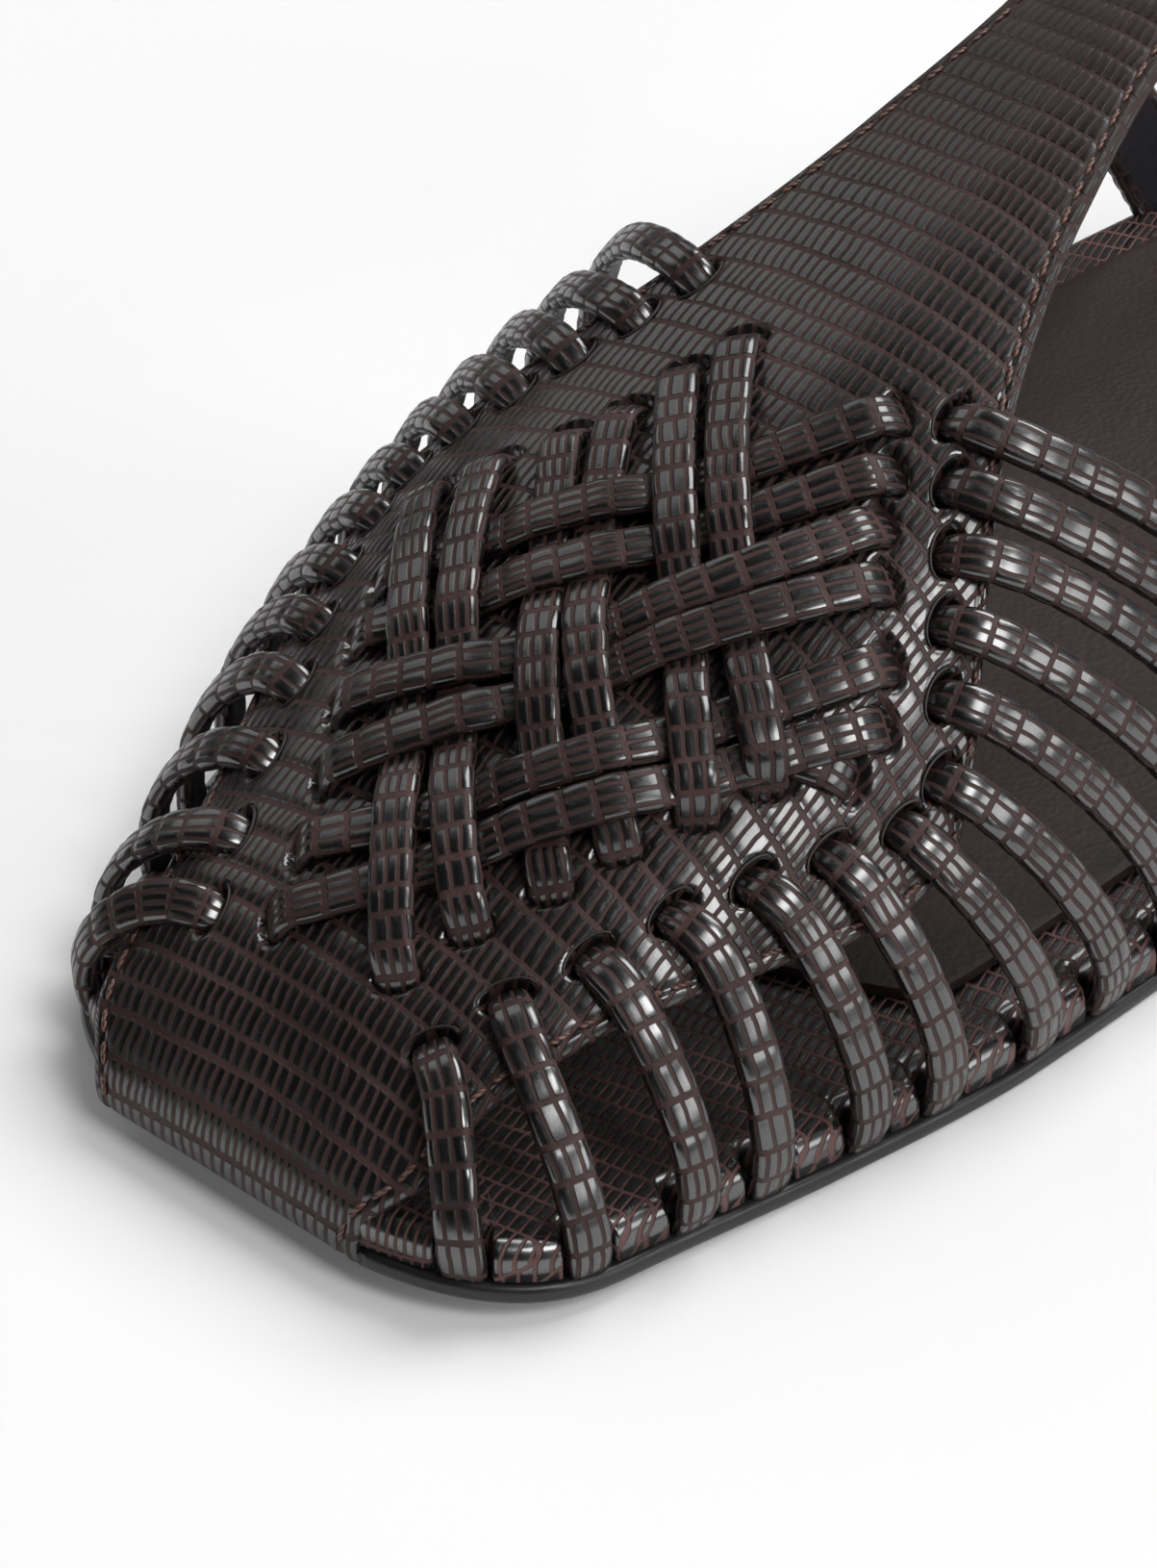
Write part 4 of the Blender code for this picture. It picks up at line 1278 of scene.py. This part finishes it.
# Shares are how far a ring has shrunk towards the middle line, which runs between the spine's ends
OUTSOLE_ROUND = 0.7
OUTSOLE_STEP = 1.2
OUTSOLE_ARC = 5
OUTSOLE_SHARES = (1.0, 0.7, 0.4, 0.15)
OUTSOLE_SPINE = (26.0, LENGTH - 30.0)
OUTSOLE_CHART_ROW = 3.0
INSOLE_ROUND = 1.7
INSOLE_STEP = 0.36
INSOLE_ARC = 7
INSOLE_UNDER_SHARES = (1.0, 0.6, 0.2, 0.0)
INSOLE_TOP_SHARES = (0.05, 0.12, 0.22, 0.35, 0.5, 0.65, 0.8, 1.0)
INSOLE_SPINE = (28.0, LENGTH - 32.0)
INSOLE_PRINT_TURN = math.radians(16)
INSOLE_EDGE = 0.45
INSOLE_LET_IN = 2.6
TAB_GAP = 2.2
ANKLE_GAP = 5.0
GAP_POWER = 14
PAD_SHIFT = 60.0
WRAP_INNER = 12.7
WRAP_OUTER = 15.5
WRAP_REACH = 6.0
WRAP_DEPTH = 2.7
WRAP_SOFT = 0.7


def sole_stations(front, rear, step):
    """Distances from front to rear, closer together towards both ends."""
    count = int((rear - front) / step)
    share = np.linspace(0.0, 1.0, count + 1)
    eased = share - np.sin(share * math.tau) / math.tau * END_CROWD
    return front + (rear - front) * eased


def closed_ring(inner, outer):
    """A ring round a sole with bowed ends: back along the inner side and forward along the outer side."""
    share = np.linspace(0.0, 1.0, END_COLUMNS + 1)[1:-1, None]
    bow = END_FLAT * (1 - (2 * share - 1) ** 2) * np.array((0.0, 1.0))
    heel = inner[-1] + (outer[-1] - inner[-1]) * share + bow
    toe = outer[0] + (inner[0] - outer[0]) * share - bow
    ring = np.concatenate([inner, heel, outer[::-1], toe, inner[:1]])
    return ring[:, 0], ring[:, 1]


def ring_stations(backs):
    """The stations of the points of a closed ring."""
    line = np.stack([backs, backs], axis=-1)
    return closed_ring(line, line)[1]


def behind_wrap(across, back, depth):
    """Plan points of the sole's front, moved back where the panel wraps over it."""
    half = np.where(across > 0, WRAP_INNER, WRAP_OUTER)
    inside = 1 - ease(half, half + WRAP_SOFT, np.abs(across))
    front = (back < WRAP_REACH) * inside
    return np.maximum(back, depth * front)


Ring = namedtuple("Ring", "across back up")


def pad(name, rings, turn, material, row):
    """A closed body over rings that shrink to a line at its bottom and its top."""
    points = np.stack([np.stack([ring.across, ring.back, ring.up], axis=-1) for ring in rings])
    plan_x = points[..., 0] * math.cos(turn) + points[..., 1] * math.sin(turn)
    plan_y = points[..., 1] * math.cos(turn) - points[..., 0] * math.sin(turn)
    chart = np.stack([plan_x + PAD_SHIFT, (plan_y - points[..., 2]) / row + PAD_SHIFT], axis=-1)
    made = add_sheet(name, points, chart)
    made.data.materials.append(material)
    return close_up(made)


def spine_share(across, back, stations, share, front, rear):
    """A ring moved by a share of the way to the sole's middle line, opposite points to the same place."""
    middle_back = np.clip(stations, front, rear)
    middle = (sole_edge(INNER, middle_back) + sole_edge(OUTER, middle_back)) / 2
    return across + (middle - across) * share, back + (middle_back - back) * share


def make_outsole():
    """The outsole with its low heel: a rounded edge, flat below and above."""
    extra = np.array((HEEL_FRONT - HEEL_FRONT_SLOPE, HEEL_FRONT))
    backs = sole_stations(END_FLAT, LENGTH - END_FLAT, OUTSOLE_STEP)
    backs = np.sort(np.concatenate([backs, extra]))
    arc = np.linspace(0.0, math.pi / 2, OUTSOLE_ARC)
    steps = [(share, OUTSOLE_ROUND, 0.0) for share in OUTSOLE_SHARES]
    steps += [(0.0, OUTSOLE_ROUND * (1 - math.sin(a)), OUTSOLE_ROUND * (1 - math.cos(a))) for a in arc]
    stations = ring_stations(backs)
    rings = []
    for from_top in (False, True):
        for share, inset, lift in (steps[::-1] if from_top else steps):
            inner = np.stack([inset_across(INNER, backs, inset), backs], axis=-1)
            outer = np.stack([inset_across(OUTER, backs, inset), backs], axis=-1)
            across, back = closed_ring(inner, outer)
            back = behind_wrap(across, back, WRAP_DEPTH + inset)
            across, back = spine_share(across, back, stations, share, *OUTSOLE_SPINE)
            level = sole_top(back) - lift if from_top else sole_bottom(back) + lift
            rings.append(Ring(across, back, level))
    return pad("outsole_and_heel", rings, 0.0, sole_rubber, OUTSOLE_CHART_ROW)


def strap_gap(side, backs):
    """1 beside the feet of the loops and of the ankle strap, and 0 between them."""
    distance = travelled(inset_edge(side, backs, UPPER_INSET))
    feet = [(run.foot, TAB_GAP) for run in LOOPS[side]]
    gap = np.zeros_like(backs)
    for foot, half in feet + [(ANKLE_FOOT_BACK, ANKLE_GAP)]:
        beside = distance - np.interp(foot, backs, distance)
        gap = np.maximum(gap, np.exp(-(beside / half) ** GAP_POWER))
    return gap


def make_insole():
    """The insole: a board wrapped in leather, let in where a strap passes its edge."""
    backs = sole_stations(END_FLAT, LENGTH - END_FLAT, INSOLE_STEP)
    arc = np.linspace(0.0, math.pi / 2, INSOLE_ARC)
    turn_in = [INSOLE_ROUND * (1 - math.cos(a)) for a in arc]
    turn_up = [INSOLE_THICK - INSOLE_ROUND * (1 - math.sin(a)) for a in arc]
    steps = [(share, 0.0, 0.0) for share in INSOLE_UNDER_SHARES]
    steps += [(0.0, inset, lift) for inset, lift in zip(turn_in, turn_up)]
    steps += [(share, INSOLE_ROUND, INSOLE_THICK) for share in INSOLE_TOP_SHARES]
    let_in = {}
    for side in SIDE_NAMES:
        let_in[side] = INSOLE_EDGE + (INSOLE_LET_IN - INSOLE_EDGE) * strap_gap(side, backs)
    stations = ring_stations(backs)
    rings = []
    for share, inset, lift in steps:
        inner = inset_edge(INNER, backs, (let_in[INNER] + inset)[:, None])[:, :2]
        outer = inset_edge(OUTER, backs, (let_in[OUTER] + inset)[:, None])[:, :2]
        across, back = closed_ring(inner, outer)
        back = behind_wrap(across, back, WRAP_DEPTH + inset)
        across, back = spine_share(across, back, stations, share, *INSOLE_SPINE)
        rings.append(Ring(across, back, sole_top(back) + CLEARANCE + lift))
    return pad("insole_board", rings, INSOLE_PRINT_TURN, insole_leather, INSOLE_ROW)


def make_sock():
    """A thin sheet of smooth leather on the insole, its front edge bowed forward."""
    column = np.linspace(-1.0, 1.0, SOCK_COLUMNS + 1)
    share = sole_stations(0.0, 1.0, SOCK_STEP)[:, None]
    rear = LENGTH - SOCK_INSET
    front = SOCK_FRONT + SOCK_FRONT_CURVE * column ** 2
    back = front + (rear - front) * share
    station = np.minimum(back, rear - END_FLAT)
    inner, outer = (inset_across(side, station, SOCK_INSET) for side in (INNER, OUTER))
    across = column * np.where(column >= 0, inner, -outer)
    up = sole_top(back) + CLEARANCE + INSOLE_THICK + CLEARANCE + SOCK_THICK
    points = np.stack([across, back, up], axis=-1)
    sock = add_sheet("sock_sheet", points, points[..., :2])
    sock.data.materials.append(sock_leather)
    wall = sock.modifiers.new("wall", "SOLIDIFY")
    wall.thickness = SOCK_THICK / 1000
    wall.offset = -1
    bpy.ops.object.modifier_apply(modifier=wall.name)
    soften = sock.modifiers.new("soften", "BEVEL")
    soften.width = SOCK_SOFTENED / 1000
    soften.segments = 3
    soften.limit_method = "ANGLE"
    soften.angle_limit = SOCK_SOFTEN_ANGLE
    bpy.ops.object.modifier_apply(modifier=soften.name)
    bpy.ops.object.shade_smooth_by_angle(angle=SOCK_SMOOTH_ANGLE)
    return sock


# Stitches

STITCH_LONG = 2.2
STITCH_GAP = 0.35
STITCH_THICK = 0.40
STITCH_LEAST = 0.02
STITCH_RISE = 0.10
STITCH_DIP = 0.38
STITCH_FLATTENED = 0.85
STITCH_POINTS = 9
PANEL_SEAM_ROWS = 600
PANEL_SEAM_START = 8
PANEL_SEAM_END = 6
STRAP_SEAM_POINTS = 400
STRAP_SEAM_START = 0.03
STRAP_SEAM_INSET = 1.5
STRAP_SEAM_SINK = 0.1


def one_stitch():
    """A stitch lying along X: a short bent thread that dips into the leather at both ends."""
    share = np.linspace(-1.0, 1.0, STITCH_POINTS)
    thick = STITCH_THICK / 2 * np.sqrt(np.maximum(0.0, 1 - share ** 6)) + STITCH_LEAST
    middle = STITCH_RISE - STITCH_DIP * share ** 4
    angle = np.linspace(-math.pi, math.pi, STITCH_POINTS)
    x = np.broadcast_to(share[:, None] * STITCH_LONG / 2, (STITCH_POINTS, STITCH_POINTS))
    y = thick[:, None] * np.sin(angle)
    z = middle[:, None] + thick[:, None] * np.cos(angle) * STITCH_FLATTENED
    chart = np.stack(np.broadcast_arrays(angle[None] / math.tau, (share[:, None] + 1) / 2), axis=-1)
    stitch = add_sheet("stitch", np.stack([x, y, z], axis=-1) - ORIGIN, chart)
    stitch.data.materials.append(thread)
    return close_up(stitch)


def stitch_run(line, normals):
    """The places of stitches along a line, each as a matrix from a stitch's own frame."""
    distance = travelled(line)
    count = int(distance[-1] / (STITCH_LONG + STITCH_GAP))
    places = (np.arange(count) + 0.5) * distance[-1] / count
    half = STITCH_LONG / 2
    start, end = sampled(line, distance, places - half), sampled(line, distance, places + half)
    middle = world(sampled(line, distance, places))
    out = unit(sampled(normals, distance, places))
    along = unit(end - start)
    beside = unit(np.cross(out, along))
    out = np.cross(along, beside)
    matrices = []
    for i in range(count):
        matrix = Matrix(np.stack([along[i], beside[i], out[i]], axis=-1).tolist()).to_4x4()
        matrix.translation = Vector(middle[i])
        matrices.append(matrix)
    return matrices


def panel_seams():
    """Stitches along both edges of the panel and T-bar."""
    rows, _ = panel_rows(PANEL_SEAM_ROWS)
    rows = rows[PANEL_SEAM_START:-PANEL_SEAM_END]
    places = []
    for side in SIDE_NAMES:
        column = side * (1 - STITCH_INSET / edge_stretch(rows, side))
        line = panel_base(rows, column)
        normals = panel_normal(rows, column)
        places += stitch_run(line - normals * CHANNEL_DEPTH, normals)
    return places


def strap_seams():
    """Stitches along both edges of the ankle strap and the run around the heel."""
    turn = np.linspace(STRAP_SEAM_START, 1 - STRAP_SEAM_START, STRAP_SEAM_POINTS)
    upright = np.broadcast_to(UP, (len(turn), 3))
    places = []
    runs = (
        (ankle_path(turn), ankle_sides(turn), ANKLE_SECTION),
        (sling_path(turn), upright, SLING_SECTION),
    )
    for path, sides, section in runs:
        wide, face = strap_frames(path, sides)
        surface = path + face * (section.half_thick - STRAP_SEAM_SINK)
        aside = wide * (section.half_width - STRAP_SEAM_INSET)
        for edge in (-1, 1):
            places += stitch_run(surface + aside * edge, face)
    return places


def make_stitches():
    """All stitches, copied from one and joined."""
    first = one_stitch()
    copies = []
    for matrix in panel_seams() + strap_seams():
        copied = first.copy()
        copied.data = first.data.copy()
        bpy.context.collection.objects.link(copied)
        copied.data.transform(matrix)
        copies.append(copied)
    bpy.data.objects.remove(first)
    return join_pieces("stitches", copies)


# Putting the shoe together

def dress(piece, slot, *nodes):
    """Lets a piece ride on the shoe and stand for the solids that it replaces. The slot is not used."""
    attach(piece, "root")
    for node in nodes:
        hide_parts(node)


dress(make_outsole(), "outsole", "outsole")
dress(make_insole(), "insole_leather", "insole")
dress(make_sock(), "sock_leather", "sock_lining")
dress(make_panel(), "upper_leather", "upper")
dress(make_lips(), "upper_leather")
for side, side_name in SIDE_NAMES.items():
    loops = []
    for number, run in enumerate(LOOPS[side]):
        loops.append(make_loop(side, run, LOOP_SEED + number * 2 + (side > 0)))
    dress(join_pieces("loops_" + side_name, loops), "upper_leather")
strips = []
for side in SIDE_NAMES:
    for index, strip in enumerate(STRIPS[side]):
        seed = STRIP_SEED + index * 2 + (side > 0)
        strips.append(woven_strip(strip_line(side, strip), weave_crossings(side, index), seed))
short_crossings = [(0.0, SHORT_STRIP_TOP), (1.0, SHORT_STRIP_TOP)]
strips.append(woven_strip(strip_line(OUTER, SHORT_STRIP), short_crossings, SHORT_STRIP_SEED))
dress(join_pieces("woven_strips", strips), "upper_leather")
dress(make_fold(), "upper_leather")
dress(make_ankle_strap(), "strap_leather", "ankle_strap")
dress(make_stitches(), "upper_leather")


# Studio

Softbox = namedtuple("Softbox", "name direction distance wide tall power")
SOFTBOXES = (
    Softbox("top_softbox", (0.04, 0.56, 0.83), 3.0, 1.9, 1.9, 64.0),
    Softbox("right_softbox", (0.58, -0.05, 0.81), 3.0, 1.0, 1.0, 30.0),
    Softbox("side_softbox", (0.88, 0.28, 0.38), 2.5, 1.8, 0.9, 18.0),
    Softbox("left_softbox", (-0.74, 0.12, 0.66), 2.5, 1.8, 1.8, 9.0),
)
SHOE_MIDDLE = Vector((0.0, -0.05, 0.03))
FLOOR_SIZE = 60.0

bpy.ops.object.select_all(action="DESELECT")
bpy.ops.mesh.primitive_plane_add(size=FLOOR_SIZE)
floor = bpy.context.object
floor.name = "studio_floor"
floor.data.materials.append(pale_floor)

for softbox in SOFTBOXES:
    direction = Vector(softbox.direction).normalized()
    bpy.ops.object.light_add(type="AREA")
    lamp = bpy.context.object
    lamp.name = softbox.name
    lamp.data.shape = "RECTANGLE"
    lamp.data.size = softbox.wide
    lamp.data.size_y = softbox.tall
    lamp.data.energy = softbox.power
    lamp.location = SHOE_MIDDLE + direction * softbox.distance
    lamp.rotation_euler = direction.to_track_quat("Z", "Y").to_euler()

REAR_LIGHT = 0.16
FRONT_LIGHT = 0.02
INNER_SIDE_SHARE = 0.6
DIMMEST_WAY = -0.6
PALEST_WAY = 0.9


def light_studio():
    """A dim room, paler towards the rear and the inner side."""
    room = bpy.data.worlds.new("studio_room")
    bpy.context.scene.world = room
    room.use_nodes = True
    tree = room.node_tree
    direction = add_node(tree, "ShaderNodeTexCoord").outputs["Generated"]
    way = add_node(tree, "ShaderNodeSeparateXYZ", {0: direction})
    rearward = reckon(tree, "MULTIPLY_ADD", way.outputs[0], INNER_SIDE_SHARE, way.outputs[1])
    strength = spread(tree, rearward, DIMMEST_WAY, PALEST_WAY, FRONT_LIGHT, REAR_LIGHT)
    background = tree.nodes["Background"]
    tree.links.new(strength, background.inputs["Strength"])
    background.inputs["Color"].default_value = WHITE


light_studio()

# Camera: the photograph's height of view and side, from its distance
CAMERA_PLACE = Vector((0.1812, -0.2663, 0.2061))
CAMERA_ELEVATION = 36.5
CAMERA_YAW = 44.0
CAMERA_LENS = 89.45
CAMERA_SENSOR = 36.0

bpy.ops.object.camera_add(location=CAMERA_PLACE)
camera = bpy.context.object
camera.name = "camera"
camera.rotation_euler = (math.radians(90 - CAMERA_ELEVATION), 0.0, math.radians(CAMERA_YAW))
camera.data.lens = CAMERA_LENS
camera.data.sensor_width = CAMERA_SENSOR
camera.data.clip_start = 0.01
bpy.context.scene.camera = camera
bpy.context.scene.view_settings.view_transform = "Standard"
